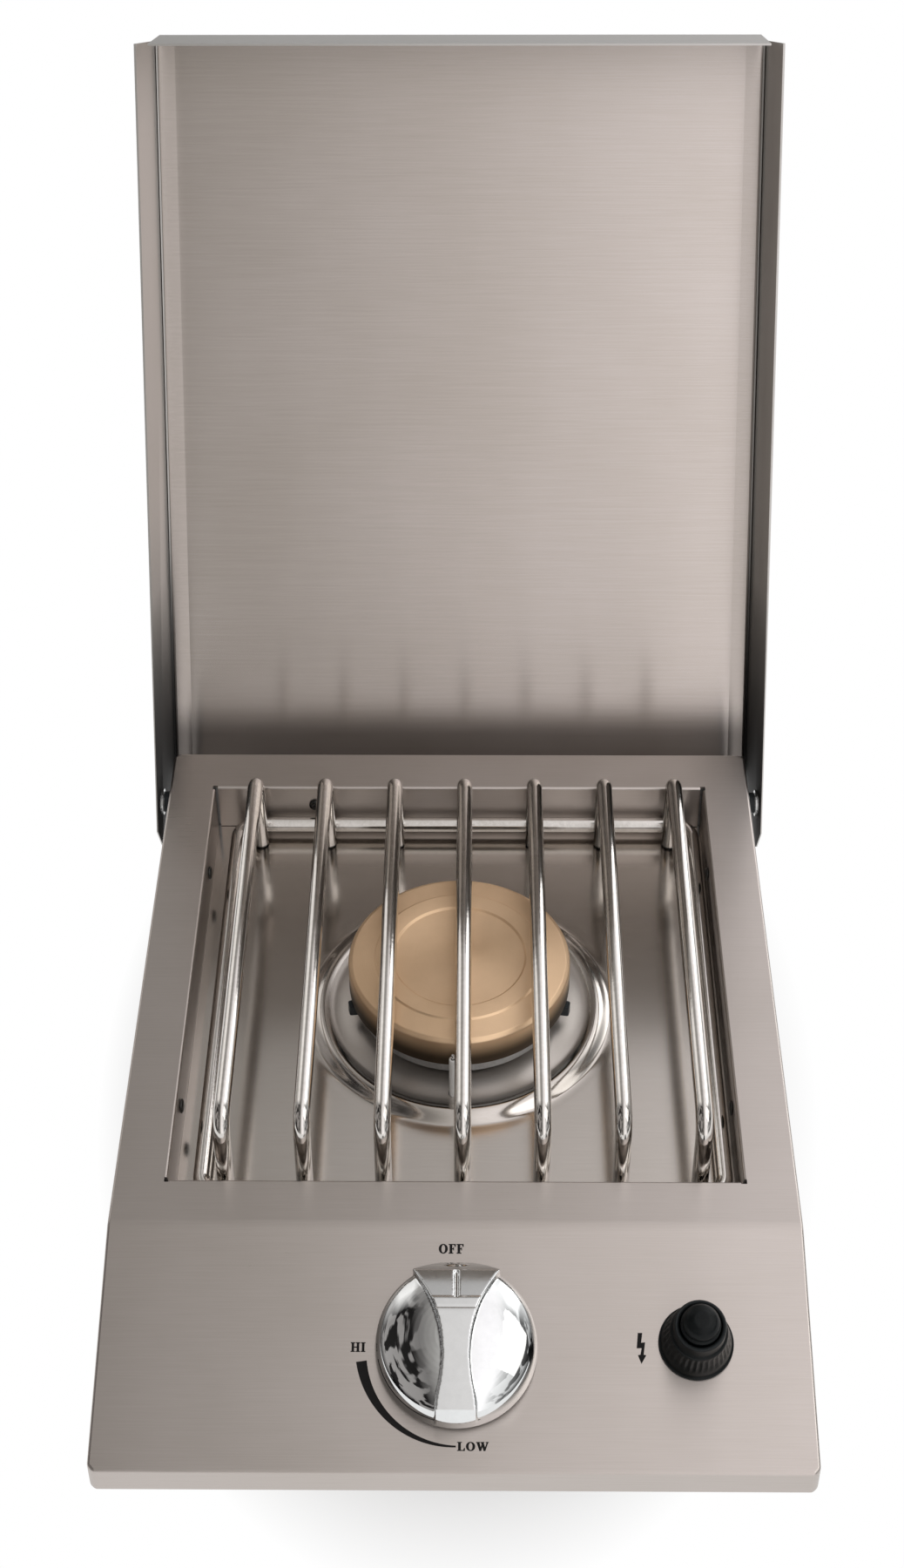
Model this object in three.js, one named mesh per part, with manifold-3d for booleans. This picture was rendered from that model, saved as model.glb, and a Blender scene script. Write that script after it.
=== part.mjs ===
// A built in side burner: a stainless deck with a sloped control panel, a gas burner under a wire
// grate, a chrome knob, a push igniter and a hinged lid that stands open.
// Millimetres, +Z up, +X to the right, +Y to the back. The deck's top face is at deckTop while the
// pieces are made; the last step moves the origin to the bottom centre of the whole object.
import * as THREE from 'three';
import { mergeVertices } from 'three/addons/utils/BufferGeometryUtils.js';
import Module from 'manifold-3d';

const wasm = await Module();
wasm.setup();

// Shared values
const gap = 0.3; // between pieces that touch
const overrun = 2; // how far a cutter passes a face
const mergeDistance = 0.0001;
const sheet = 1.2; // deck steel
const boxSheet = 1;
const lidSheet = 1;
const roundSides = 40;
const smallSides = 24;
const rodSides = 12;
const tubeSides = 18;
const hexSides = 6;
const bendParts = 5;
const cornerParts = 3;

// Deck and control panel
const deckTop = 0;
const deckWidth = 305;
const deckDepth = 306.5; // back edge to the break line
const panelLength = 106;
const panelSlope = THREE.MathUtils.degToRad(17.9);
const lipHeight = 14.2;
const deckCornerRadius = 4;
const frontCornerCut = 2.5;
const restFlange = 9; // inward return at the foot of the skirts
const openingSideMargin = 24.1;
const openingBackMargin = 26.7;
const openingFrontMargin = 24;
const openingCornerRadius = 3;
const wellDepth = 27.7;

// Burner box and tray
const boxDepth = 112;
const boxLedge = 8;
const trayTop = 28;
const traySheet = 1;
const trayPlay = 0.5;
const ringInner = 66.4;
const ringOuter = 72.8;
const ringRise = 1.8;
const trayHole = 38;

// Burner
const burnerX = 1; // burner, mixing tube, valve and knob stand a little right of the middle
const capRadius = 53.7;
const capTop = 8.9;
const capRimTop = 7.4;
const capBottom = -9.4;
const capFaceRadius = 41.3;
const capStepRadius = 33.4;
const capStep = 0.9;
const capShell = 3.4;
const capSpigotOuter = 46.4;
const capSpigotInner = 43.6;
const capSpigotDrop = 2.6;
const capSides = 52;
const headRadius = 50.5;
const headTop = -9.7;
const headRimBottom = -17.5;
const headNeckRadius = 36;
const headNeckTop = -25;
const headBottom = -38;
const headWall = 3.5;
const headBore = 13.2;
const portCount = 24;
const portWidth = 2.4;
const portDepth = 3.2;
const lugDepth = 4.4;
const lugWidth = 5.4;
const lugHeight = 5.6;
const lugAngle = THREE.MathUtils.degToRad(14);
const tubeOuter = 12.9;
const tubeInner = 11.6;
const tubeBend = 22;
const jetEntry = 1.9; // how far the valve's jet stands in the tube
const shutterOuter = 15.2;
const shutterLength = 16;
const shutterSetback = 4; // from the tube's mouth
const shutterPorts = 4;
const shutterPortSize = 9;

// Electrode
const electrodeX = -1.6;
const electrodeFromCap = 3.5;
const electrodeRadius = 1.9;
const electrodeTop = -0.6;
const electrodeCollarRadius = 3.4;
const electrodeCollarTop = -32;
const electrodeCollarLength = 6;
const pinRadius = 0.7;
const pinBore = 0.95;
const pinTop = 2;
const pinStub = 5; // below the sleeve
const pinToTube = 2.1;
const clipThickness = 1.6;
const clipWidth = 12;
const clipReach = 6.8; // in front of the electrode
const clipSeat = 4; // past the head's neck
const electrodeSides = 16;

// Grate
const grateShiftX = 3.2;
const grateRodRadius = 4;
const grateBarRadius = 3.3;
const grateSideGap = 9.2; // rod's centre line to the wall, before the shift
const grateRingZ = -20;
const grateBackWallGap = 7;
const grateCornerRadius = 10;
const weldLength = 7;
const weldRise = 0.5;
const weldSlit = 0.6;
const barCount = 7;
const barToSide = 11.2; // outer bars to the ring's sides
const barTopZ = 18.4; // centre line
const barFootZ = -27.7;
const barBend = 8;

// Panel fittings: places are across and along the panel from the break line
const knobAlong = 54.2;
const knobRadius = 34.6;
const knobLift = 2.9; // base above the panel
const knobRimHeight = 8.2;
const knobCheekHeight = 18;
const knobTaper = 0.8;
const knobSides = 56;
const knobGripHeight = 25;
// Dome from the rim up: shares of the radius and of the cheeks' height
const knobDomeShares = [
  [0.96, 0.539], [0.919, 0.633], [0.838, 0.728], [0.723, 0.822], [0.52, 0.917], [0.26, 0.978],
];
// Side view of the grip, front to the right: shares of the radius and of the grip's height
const knobGripSideShares = [
  [-0.973, 0], [0.973, 0], [0.962, 0.5], [0.694, 0.656], [0.347, 0.84], [0.058, 0.956],
  [-0.173, 1], [-0.283, 0.988], [-0.408, 0.908], [-0.442, 0.892], [-0.815, 0.6], [-0.973, 0.304],
];
// Half of the grip seen from above: shares of the radius
const knobGripHalfShares = [
  [0.251, -1.156], [0.249, -0.968], [0.234, -0.766], [0.197, -0.578], [0.171, -0.393],
  [0.166, -0.22], [0.184, -0.017], [0.225, 0.173], [0.295, 0.387], [0.39, 0.578],
  [0.512, 0.78], [0.636, 1],
];
const knobSocketRadius = 4.3;
const knobSocketDepth = 14;
const knobHollowRadius = 27;
const knobHollowDepth = 3.2;
const pointerWidth = 2;
const pointerDepth = 1;
const pointerLength = 16;
const pointerCentreY = 20.5;
const pointerTilt = THREE.MathUtils.degToRad(29);
const pointerHeight = 19.4;
const stemRadius = 4;
const stemTop = 15.5;
const stemBottom = -17;
const stemHoleRadius = 6.2;
const collarOuter = 6.4;
const collarInner = 4.3;
const collarTop = -7;
const collarBottom = -12;
const valveFlangeRadius = 15;
const valveFlange = 5;
const valveRadius = 12;
const valveLength = 58;
const valveBore = 6.9;
const valveBoreDepth = 24;
const valveMouth = 5;
const valveOutletDepth = 51.9;
const outletRadius = 6;
const outletTipRadius = 3.4;
const outletTip = 7;
const outletReach = 26;
const pipeRadius = 5;
const pipeBore = 3.6;
const pipeDepth = 34;
const pipeRun = 72;
const pipeDrop = 34;
const pipeBendRadius = 14;
const pipeSides = 16;
const pipeStartShare = 0.55; // of the valve's radius
const fittingRadius = 10;
const fittingLength = 16;
const fittingBore = 5.3;

// Igniter
const igniterFromSide = 49.5; // its axis to the deck's side
const igniterAlong = 51.6;
const bezelRadius = 16;
const bezelPlate = 2;
const bezelConeRadius = 15;
const bezelTopRadius = 11;
const bezelHeight = 20;
const bezelRim = 1.4;
const bezelBore = 8.7;
const bezelRibs = 28;
const bezelRibDepth = 0.8;
const barrelRadius = 11.7;
const barrelBottom = -17;
const barrelFloor = -12;
const igniterHole = 12.1;
const nutOuter = 16.5;
const nutThickness = 5;
const buttonRadius = 8.3;
const buttonTop = 26.5;
const buttonEdge = 22.5;
const buttonBottom = -4;
// Crown of the button: shares of its radius and of its crown's height
const buttonCrownShares = [[0.9, 0.55], [0.6, 0.88]];
const igniterBodyRadius = 9.6;
const igniterBodyLength = 30;
const terminalWidth = 3;
const terminalThickness = 0.9;
const terminalLength = 9;

// Well screws
const screwHeadRadius = 3.4;
const screwHeadHeight = 1.3;
const screwCrownShare = 0.7;
const screwRadius = 1.85;
const screwHole = 2.1;
const screwLength = 7;
const screwZ = -12;
const screwSideShare = 0.598; // of half the well's depth, either side of the burner
const screwBackShare = 0.592; // of half the well's width

// Lid, in its own frame: x across, y from the pivot to the skin, z along the lid from the pivot
const lidOverhang = 8; // beyond each side of the deck
const lidLean = THREE.MathUtils.degToRad(26.7);
const lidPivotY = -18.5;
const lidPivotZ = -18;
const lidFreeEdge = 13; // pivot to the flanges' free edge
const lidFlange = 75;
const lidFrontGap = 4.13; // inside of the closed lid's edge past the deck's lip
const lidFrontSlant = THREE.MathUtils.degToRad(-4.7); // less than 0: longer at the skin
const lidHeelTop = -13;
const lidHeelLow = -26;
const lidHeelDepth = 18;
const linerSideGap = 2.9;
const linerMargin = 8;
const linerHem = 2.2;
const linerHemRise = 2;
const linerRise = 3;
const linerSlope = 3;
const linerStart = 9;
const linerEndGap = 3;
const hingePin = 4;
const hingeHole = 4.06;
const washerRadius = 7;
const washer = 1.5;
const bushRadius = 5.6;
const nutRadius = 6.6;
const nutLength = 6;
const pinEnd = 10;

// Colours
const brushed = { color: 0x9c9894, roughness: 0.34, metalness: 1 };
const inner = { color: 0x8d8a86, roughness: 0.4, metalness: 1 };
const polished = { color: 0xa8a6a2, roughness: 0.16, metalness: 1 };
const galvanised = { color: 0x8a8c8e, roughness: 0.5, metalness: 1 };
const chromed = { color: 0xd9dbdc, roughness: 0.06, metalness: 1 };
const castGrey = { color: 0x6f6e6b, roughness: 0.62, metalness: 1 };
const brassy = { color: 0xb59652, roughness: 0.36, metalness: 1 };
const blackPlastic = { color: 0x101112, roughness: 0.38, metalness: 0 };
const whiteCeramic = { color: 0xece7dc, roughness: 0.3, metalness: 0 };

const object = new THREE.Group();

// Signed volume of an indexed closed mesh: negative when the faces point inward
function signedVolume(geometry) {
  const p = geometry.attributes.position;
  const index = geometry.index;
  const a = new THREE.Vector3();
  const b = new THREE.Vector3();
  const c = new THREE.Vector3();
  let total = 0;
  for (let i = 0; i < index.count; i += 3) {
    a.fromBufferAttribute(p, index.getX(i));
    b.fromBufferAttribute(p, index.getX(i + 1));
    c.fromBufferAttribute(p, index.getX(i + 2));
    total += a.dot(b.cross(c));
  }
  return total;
}

// A three.js geometry with shared vertices and outward faces
function closed(source) {
  const bare = source.clone();
  bare.deleteAttribute('normal');
  bare.deleteAttribute('uv');
  const geometry = mergeVertices(bare, mergeDistance);
  const kept = [];
  const index = geometry.index;
  for (let i = 0; i < index.count; i += 3) {
    const t = [index.getX(i), index.getX(i + 1), index.getX(i + 2)];
    if (t[0] !== t[1] && t[1] !== t[2] && t[2] !== t[0]) {
      kept.push(...t);
    }
  }
  geometry.setIndex(kept);
  if (signedVolume(geometry) < 0) {
    for (let i = 0; i < kept.length; i += 3) {
      [kept[i], kept[i + 1]] = [kept[i + 1], kept[i]];
    }
    geometry.setIndex(kept);
  }
  return geometry;
}

function solid(source) {
  const geometry = closed(source);
  return new wasm.Manifold(new wasm.Mesh({
    numProp: 3,
    vertProperties: new Float32Array(geometry.attributes.position.array),
    triVerts: new Uint32Array(geometry.index.array),
  }));
}

function toGeometry(manifold) {
  const mesh = manifold.getMesh();
  const geometry = new THREE.BufferGeometry();
  geometry.setAttribute('position', new THREE.BufferAttribute(mesh.vertProperties, 3));
  geometry.setIndex(new THREE.BufferAttribute(mesh.triVerts, 1));
  return geometry;
}

function join(...sources) {
  return wasm.Manifold.union(sources.map((s) => (s.isBufferGeometry ? solid(s) : s)));
}

function cut(body, ...tools) {
  const first = body.isBufferGeometry ? solid(body) : body;
  return first.subtract(join(...tools));
}

function add(name, shape, look, parent = object) {
  const geometry = (shape.isBufferGeometry ? closed(shape) : toGeometry(shape)).toNonIndexed();
  geometry.computeVertexNormals();
  const mesh = new THREE.Mesh(geometry, new THREE.MeshStandardMaterial({ ...look }));
  mesh.name = name;
  parent.add(mesh);
  return mesh;
}

// A box between two corners
function block(x0, x1, y0, y1, z0, z1) {
  const geometry = new THREE.BoxGeometry(x1 - x0, y1 - y0, z1 - z0);
  return geometry.translate((x0 + x1) / 2, (y0 + y1) / 2, (z0 + z1) / 2);
}

function outline(points) {
  return new THREE.Shape(points.map(([x, y]) => new THREE.Vector2(x, y)));
}

// Prisms of a flat outline along each axis
function prismZ(points, z0, z1) {
  const geometry = new THREE.ExtrudeGeometry(outline(points), {
    depth: z1 - z0, bevelEnabled: false,
  });
  return geometry.translate(0, 0, z0);
}

function prismX(points, x0, x1) {
  const geometry = prismZ(points, x0, x1);
  return geometry.applyMatrix4(new THREE.Matrix4().makeBasis(
    new THREE.Vector3(0, 1, 0), new THREE.Vector3(0, 0, 1), new THREE.Vector3(1, 0, 0)));
}

// A solid of revolution about +Z from [radius, height] points
function turned(points, sides = roundSides) {
  const profile = points.map(([r, z]) => new THREE.Vector2(r, z));
  return new THREE.LatheGeometry(profile, sides).rotateX(Math.PI / 2);
}

function rodX(radius, x0, x1, y, z, sides = roundSides) {
  const geometry = turned([[0, x0], [radius, x0], [radius, x1], [0, x1]], sides);
  return geometry.rotateY(Math.PI / 2).translate(0, y, z);
}

function rodY(radius, y0, y1, x, z, sides = roundSides) {
  const geometry = turned([[0, y0], [radius, y0], [radius, y1], [0, y1]], sides);
  return geometry.rotateX(-Math.PI / 2).translate(x, 0, z);
}

function rodZ(radius, z0, z1, x, y, sides = roundSides) {
  return turned([[0, z0], [radius, z0], [radius, z1], [0, z1]], sides).translate(x, y, 0);
}

// A closed ring about +Z
function ringZ(innerRadius, outerRadius, z0, z1, sides = smallSides) {
  return turned([
    [innerRadius, z0], [outerRadius, z0], [outerRadius, z1], [innerRadius, z1], [innerRadius, z0],
  ], sides);
}

// A rectangle outline with rounded corners
function roundedRectangle(x0, x1, y0, y1, radius, parts) {
  const points = [];
  const centres = [
    [x1 - radius, y1 - radius, 0], [x0 + radius, y1 - radius, 1],
    [x0 + radius, y0 + radius, 2], [x1 - radius, y0 + radius, 3],
  ];
  for (const [x, y, quarter] of centres) {
    for (let k = 0; k <= parts; k += 1) {
      const turn = (quarter + k / parts) * Math.PI / 2;
      points.push([x + radius * Math.cos(turn), y + radius * Math.sin(turn)]);
    }
  }
  return points;
}

// A path that visits its points in turn, one step for each
class NodePath extends THREE.Curve {
  constructor(points) {
    super();
    this.points = points;
  }

  getPoint(t) {
    const last = this.points.length - 1;
    const place = Math.min(t * last, last);
    const from = Math.min(Math.floor(place), last - 1);
    return this.points[from].clone().lerp(this.points[from + 1], place - from);
  }

  getPointAt(u) {
    return this.getPoint(u);
  }

  getSpacedPoints() {
    return this.points.map((p) => p.clone());
  }

  getTangentAt(u) {
    const last = this.points.length - 1;
    const at = Math.round(u * last);
    const before = this.points[Math.max(at - 1, 0)];
    const here = this.points[at];
    const after = this.points[Math.min(at + 1, last)];
    const back = here.clone().sub(before).normalize();
    const ahead = after.clone().sub(here).normalize();
    return back.add(ahead).normalize();
  }
}

// Corner points with each inner corner turned into an arc
function bentPath(corners, radius) {
  const points = [corners[0].clone()];
  for (let i = 1; i < corners.length - 1; i += 1) {
    const toLast = corners[i - 1].clone().sub(corners[i]).normalize();
    const toNext = corners[i + 1].clone().sub(corners[i]).normalize();
    const angle = toLast.angleTo(toNext);
    const centre = corners[i].clone().add(
      toLast.clone().add(toNext).normalize().multiplyScalar(radius / Math.sin(angle / 2)));
    const start = corners[i].clone().addScaledVector(toLast, radius / Math.tan(angle / 2));
    const end = corners[i].clone().addScaledVector(toNext, radius / Math.tan(angle / 2));
    const sweep = Math.PI - angle;
    for (let k = 0; k <= bendParts; k += 1) {
      const share = k / bendParts;
      const arm = start.clone().sub(centre).multiplyScalar(
        Math.sin((1 - share) * sweep) / Math.sin(sweep));
      arm.addScaledVector(end.clone().sub(centre), Math.sin(share * sweep) / Math.sin(sweep));
      points.push(centre.clone().add(arm));
    }
  }
  points.push(corners[corners.length - 1].clone());
  return new NodePath(points);
}

function circlePoints(radius, sides) {
  return Array.from({ length: sides }, (_, k) => {
    const turn = (k + 0.5) / sides * 2 * Math.PI;
    return [radius * Math.cos(turn), radius * Math.sin(turn)];
  });
}

// A round bar, or a pipe when a bore is given, along a bent path
function bentRod(corners, radius, bend, sides = rodSides, bore = 0) {
  const path = bentPath(corners, bend);
  const section = outline(circlePoints(radius, sides));
  if (bore > 0) {
    section.holes.push(new THREE.Path(
      circlePoints(bore, sides).reverse().map(([x, y]) => new THREE.Vector2(x, y))));
  }
  return new THREE.ExtrudeGeometry(section, {
    steps: path.points.length - 1, extrudePath: path, bevelEnabled: false,
  });
}

// Frame of the control panel: x across, y up the slope, z out of the panel
const panel = new THREE.Group();
panel.position.set(0, -deckDepth, deckTop);
panel.rotation.x = panelSlope;
object.add(panel);
panel.updateMatrix();

const panelDepth = panelLength * Math.cos(panelSlope);
const panelDrop = panelLength * Math.sin(panelSlope);
const trimBottom = -(panelDrop + lipHeight);
const frontY = -(deckDepth + panelDepth);

// Places that follow from the deck's size
const halfWidth = deckWidth / 2;
const openingHalfWidth = halfWidth - openingSideMargin;
const openingBack = openingBackMargin;
const openingFront = deckDepth - openingFrontMargin;
const burnerY = -(openingBack + openingFront) / 2;
const electrodeY = burnerY - capRadius - electrodeFromCap;
const igniterX = halfWidth - igniterFromSide;

// The valve hangs under the panel, and its outlet sets the height of the mixing tube
const valve = new THREE.Group();
valve.position.set(burnerX, -knobAlong, 0);
panel.add(valve);
valve.updateMatrix();
const valveFrame = new THREE.Matrix4().multiplyMatrices(panel.matrix, valve.matrix);
const outletPlace = new THREE.Vector3(0, 0, -valveOutletDepth).applyMatrix4(valveFrame);
const tubeZ = outletPlace.z;
const tubeFrontY = outletPlace.y + outletReach - jetEntry;
const shutterFrontY = tubeFrontY + shutterSetback;
const pinBottom = tubeZ + tubeOuter + pinToTube;
const electrodeBottom = pinBottom + pinStub;

// Deck: one folded sheet with skirts, rest flange, sloped panel and the walls of the well
const deckSide = [
  [0, trimBottom], [0, deckTop], [-deckDepth, deckTop], [frontY, -panelDrop], [frontY, trimBottom],
];
const bendDrop = sheet * Math.tan(panelSlope / 2);
const lipDrop = sheet * Math.tan(Math.PI / 4 - panelSlope / 2);
const deckHollow = [
  [-sheet, trimBottom + sheet], [-sheet, -sheet], [-deckDepth + bendDrop, -sheet],
  [frontY + sheet, -panelDrop - lipDrop], [frontY + sheet, trimBottom + sheet],
];
const deckPlan = [];
for (const side of [1, -1]) {
  const arc = [];
  for (let k = 0; k <= bendParts; k += 1) {
    const turn = k / bendParts * Math.PI / 2;
    arc.push([
      side * (halfWidth - deckCornerRadius + deckCornerRadius * Math.cos(turn)),
      -deckCornerRadius + deckCornerRadius * Math.sin(turn),
    ]);
  }
  const front = [
    [side * (halfWidth - frontCornerCut), frontY], [side * halfWidth, frontY + frontCornerCut],
  ];
  const run = [...front, ...arc];
  deckPlan.push(...(side > 0 ? run : run.reverse()));
}
const deckShell = cut(
  solid(prismX(deckSide, -halfWidth, halfWidth)).intersect(
    solid(prismZ(deckPlan, trimBottom - overrun, deckTop + overrun))),
  prismX(deckHollow, -halfWidth + sheet, halfWidth - sheet),
  block(-halfWidth + restFlange, halfWidth - restFlange, frontY + restFlange, -restFlange,
    trimBottom - overrun, trimBottom + sheet + overrun));
const wellWalls = block(-openingHalfWidth - sheet, openingHalfWidth + sheet,
  -openingFront - sheet, -openingBack + sheet, -wellDepth, -sheet / 2);
const wellOpening = prismZ(
  roundedRectangle(-openingHalfWidth, openingHalfWidth, -openingFront, -openingBack,
    openingCornerRadius, cornerParts), -wellDepth - overrun, deckTop + overrun);
const knobHole = rodZ(stemHoleRadius, -sheet - overrun, overrun, burnerX, -knobAlong)
  .applyMatrix4(panel.matrix);
const igniterCut = rodZ(igniterHole, -sheet - overrun, overrun, igniterX, -igniterAlong)
  .applyMatrix4(panel.matrix);
const hingeCuts = [-1, 1].map((side) => rodX(hingeHole, side * halfWidth - sheet - overrun,
  side * halfWidth + sheet + overrun, lidPivotY, lidPivotZ, smallSides));

// Places of the well screws: [x, y, turn about Z that points the screw outward along +X]
const screwSpread = screwSideShare * (openingFront - openingBack) / 2;
const screwPlaces = [];
for (const side of [-1, 1]) {
  for (const end of [-1, 1]) {
    screwPlaces.push([
      side * openingHalfWidth, burnerY + end * screwSpread, side > 0 ? 0 : Math.PI,
    ]);
  }
}
for (const side of [-1, 1]) {
  screwPlaces.push([side * screwBackShare * openingHalfWidth, -openingBack, Math.PI / 2]);
}
const screwCuts = screwPlaces.map(([x, y, turn]) => rodX(screwHole, -overrun,
  sheet + gap + boxSheet + overrun, 0, 0, rodSides).rotateZ(turn).translate(x, y, screwZ));
add('top_deck', cut(join(deckShell, wellWalls), wellOpening, knobHole, igniterCut, ...hingeCuts,
  ...screwCuts), brushed);

// Burner box: a folded tray with an inner ledge that carries the drip tray
const boxHalf = openingHalfWidth + sheet + gap + boxSheet;
const boxBack = -openingBack + sheet + gap + boxSheet;
const boxFront = -openingFront - sheet - gap - boxSheet;
const ledgeTop = -trayTop - traySheet - gap;
const boxTop = -sheet - gap;
const lowHalf = boxHalf - boxLedge;
const lowBack = boxBack - boxLedge;
const lowFront = boxFront + boxLedge;
const boxOutside = join(
  block(-boxHalf, boxHalf, boxFront, boxBack, ledgeTop - boxSheet, boxTop),
  block(-lowHalf, lowHalf, lowFront, lowBack, -boxDepth, ledgeTop - boxSheet / 2));
const boxInside = [
  block(-boxHalf + boxSheet, boxHalf - boxSheet, boxFront + boxSheet, boxBack - boxSheet,
    ledgeTop, boxTop + overrun),
  block(-lowHalf + boxSheet, lowHalf - boxSheet, lowFront + boxSheet, lowBack - boxSheet,
    -boxDepth + boxSheet, ledgeTop + overrun),
];
const tubeCut = rodY(tubeOuter + gap, lowFront - overrun, lowFront + boxSheet + overrun, burnerX,
  tubeZ);
add('burner_box', cut(boxOutside, ...boxInside, tubeCut, ...screwCuts), galvanised);

// Drip tray with its pressed ring
const trayHalf = boxHalf - boxSheet - trayPlay;
const ringMiddle = (ringInner + ringOuter) / 2;
const ringSlope = (ringOuter - ringInner) / 4;
const trayRing = turned([
  [ringInner, -trayTop - traySheet / 2], [ringOuter, -trayTop - traySheet / 2],
  [ringOuter, -trayTop], [ringMiddle + ringSlope, -trayTop + ringRise],
  [ringMiddle - ringSlope, -trayTop + ringRise], [ringInner, -trayTop],
  [ringInner, -trayTop - traySheet / 2],
], roundSides + bendParts * 4).translate(burnerX, burnerY, 0);
const electrodeCut = rodZ(electrodeRadius + gap, -trayTop - traySheet - overrun,
  -trayTop + overrun, electrodeX, electrodeY, rodSides);
add('drip_tray', cut(
  join(block(-trayHalf, trayHalf, boxFront + boxSheet + trayPlay, boxBack - boxSheet - trayPlay,
    -trayTop - traySheet, -trayTop), trayRing),
  rodZ(trayHole, -trayTop - traySheet - overrun, -trayTop + overrun, burnerX, burnerY),
  electrodeCut), polished);

screwPlaces.forEach(([x, y, turn], k) => {
  const screw = join(
    turned([
      [0, -screwHeadHeight - gap], [screwHeadRadius * screwCrownShare, -screwHeadHeight - gap],
      [screwHeadRadius, -gap - screwHeadHeight / 2], [screwHeadRadius, -gap], [0, -gap],
    ], smallSides).rotateY(Math.PI / 2),
    rodX(screwRadius, -gap - screwHeadHeight / 2, screwLength, 0, 0, rodSides));
  const mesh = add(`well_screw_${k + 1}`, screw, chromed);
  mesh.position.set(x, y, screwZ);
  mesh.rotation.z = turn;
});

// Burner head: a cast bowl with radial ports in its rim
const headBody = turned([
  [headBore, headBottom], [headNeckRadius, headBottom], [headNeckRadius, headNeckTop],
  [headRadius, headRimBottom], [headRadius, headTop], [headRadius - headWall, headTop],
  [headRadius - headWall, headRimBottom], [headNeckRadius - headWall, headNeckTop],
  [headBore + headWall, headNeckTop - headWall], [headBore, headNeckTop - headWall],
  [headBore, headBottom],
], portCount * 2);
const ports = Array.from({ length: portCount }, (_, k) => block(headRadius - headWall - overrun,
  headRadius + overrun, -portWidth / 2, portWidth / 2, headTop - portDepth, headTop + overrun)
  .rotateZ((k + 0.5) / portCount * 2 * Math.PI));
const headSolid = cut(headBody, ...ports);
add('burner_head', headSolid, castGrey).position.set(burnerX, burnerY, 0);

// Brass cap: a shallow cup turned over, with a raised band on its face and a spigot below
add('burner_cap', turned([
  [0, capTop - capStep], [capStepRadius - capStep, capTop - capStep], [capStepRadius, capTop],
  [capFaceRadius - capStep, capTop], [capFaceRadius, capTop - capStep / 2],
  [capRadius - capShell, capRimTop - capStep / 2], [capRadius - capStep, capRimTop - capShell / 2],
  [capRadius, capRimTop - capShell], [capRadius, capBottom + capStep],
  [capRadius - capStep / 2, capBottom], [capSpigotOuter, capBottom],
  [capSpigotOuter, capBottom - capSpigotDrop], [capSpigotInner, capBottom - capSpigotDrop],
  [capSpigotInner, capTop - capShell * 2], [0, capTop - capShell * 2],
], capSides), brassy).position.set(burnerX, burnerY, 0);

for (const side of [-1, 1]) {
  const lug = add(side < 0 ? 'head_lug_left' : 'head_lug_right', block(
    headRadius + gap, headRadius + gap + lugDepth, -lugWidth / 2, lugWidth / 2,
    headRimBottom, headRimBottom + lugHeight), blackPlastic);
  lug.position.set(burnerX, burnerY, 0);
  lug.rotation.z = side < 0 ? Math.PI + lugAngle : -lugAngle;
}

// Mixing tube from the valve's jet to the burner head, with its air shutter
add('mixing_tube', bentRod([
  new THREE.Vector3(burnerX, tubeFrontY, tubeZ), new THREE.Vector3(burnerX, burnerY, tubeZ),
  new THREE.Vector3(burnerX, burnerY, headNeckTop - headWall - gap),
], tubeOuter, tubeBend, tubeSides, tubeInner), galvanised);
const shutterEnd = shutterFrontY + shutterLength;
const shutterRing = cut(rodY(shutterOuter, shutterFrontY, shutterEnd, 0, 0),
  rodY(tubeOuter + gap, shutterFrontY - overrun, shutterEnd + overrun, 0, 0),
  ...Array.from({ length: shutterPorts }, (_, k) => block(0, shutterOuter + overrun,
    shutterFrontY + (shutterLength - shutterPortSize) / 2,
    shutterFrontY + (shutterLength + shutterPortSize) / 2,
    -shutterPortSize / 2, shutterPortSize / 2).rotateY((k + 0.5) / shutterPorts * 2 * Math.PI)));
add('air_shutter', shutterRing, galvanised).position.set(burnerX, 0, tubeZ);

// Spark electrode: a ceramic sleeve round a steel pin, held by a clip under the tray
add('electrode', turned([
  [pinBore, electrodeBottom], [electrodeRadius, electrodeBottom],
  [electrodeRadius, electrodeCollarTop - electrodeCollarLength],
  [electrodeCollarRadius, electrodeCollarTop - electrodeCollarLength],
  [electrodeCollarRadius, electrodeCollarTop], [electrodeRadius, electrodeCollarTop],
  [electrodeRadius, electrodeTop], [pinBore, electrodeTop], [pinBore, electrodeBottom],
], electrodeSides), whiteCeramic).position.set(electrodeX, electrodeY, 0);
add('electrode_pin', rodZ(pinRadius, pinBottom, pinTop, 0, 0, rodSides), chromed)
  .position.set(electrodeX, electrodeY, 0);
const clipTop = electrodeCollarTop - electrodeCollarLength - gap;
add('electrode_clip', cut(
  block(electrodeX - clipWidth / 2, electrodeX + clipWidth / 2, electrodeY - clipReach,
    burnerY - headNeckRadius + clipSeat, clipTop - clipThickness, clipTop),
  rodZ(electrodeRadius + gap, clipTop - clipThickness - overrun, clipTop + overrun, electrodeX,
    electrodeY, rodSides),
  rodZ(headNeckRadius + gap, clipTop - clipThickness - overrun, clipTop + overrun, burnerX,
    burnerY)),
galvanised);

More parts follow.
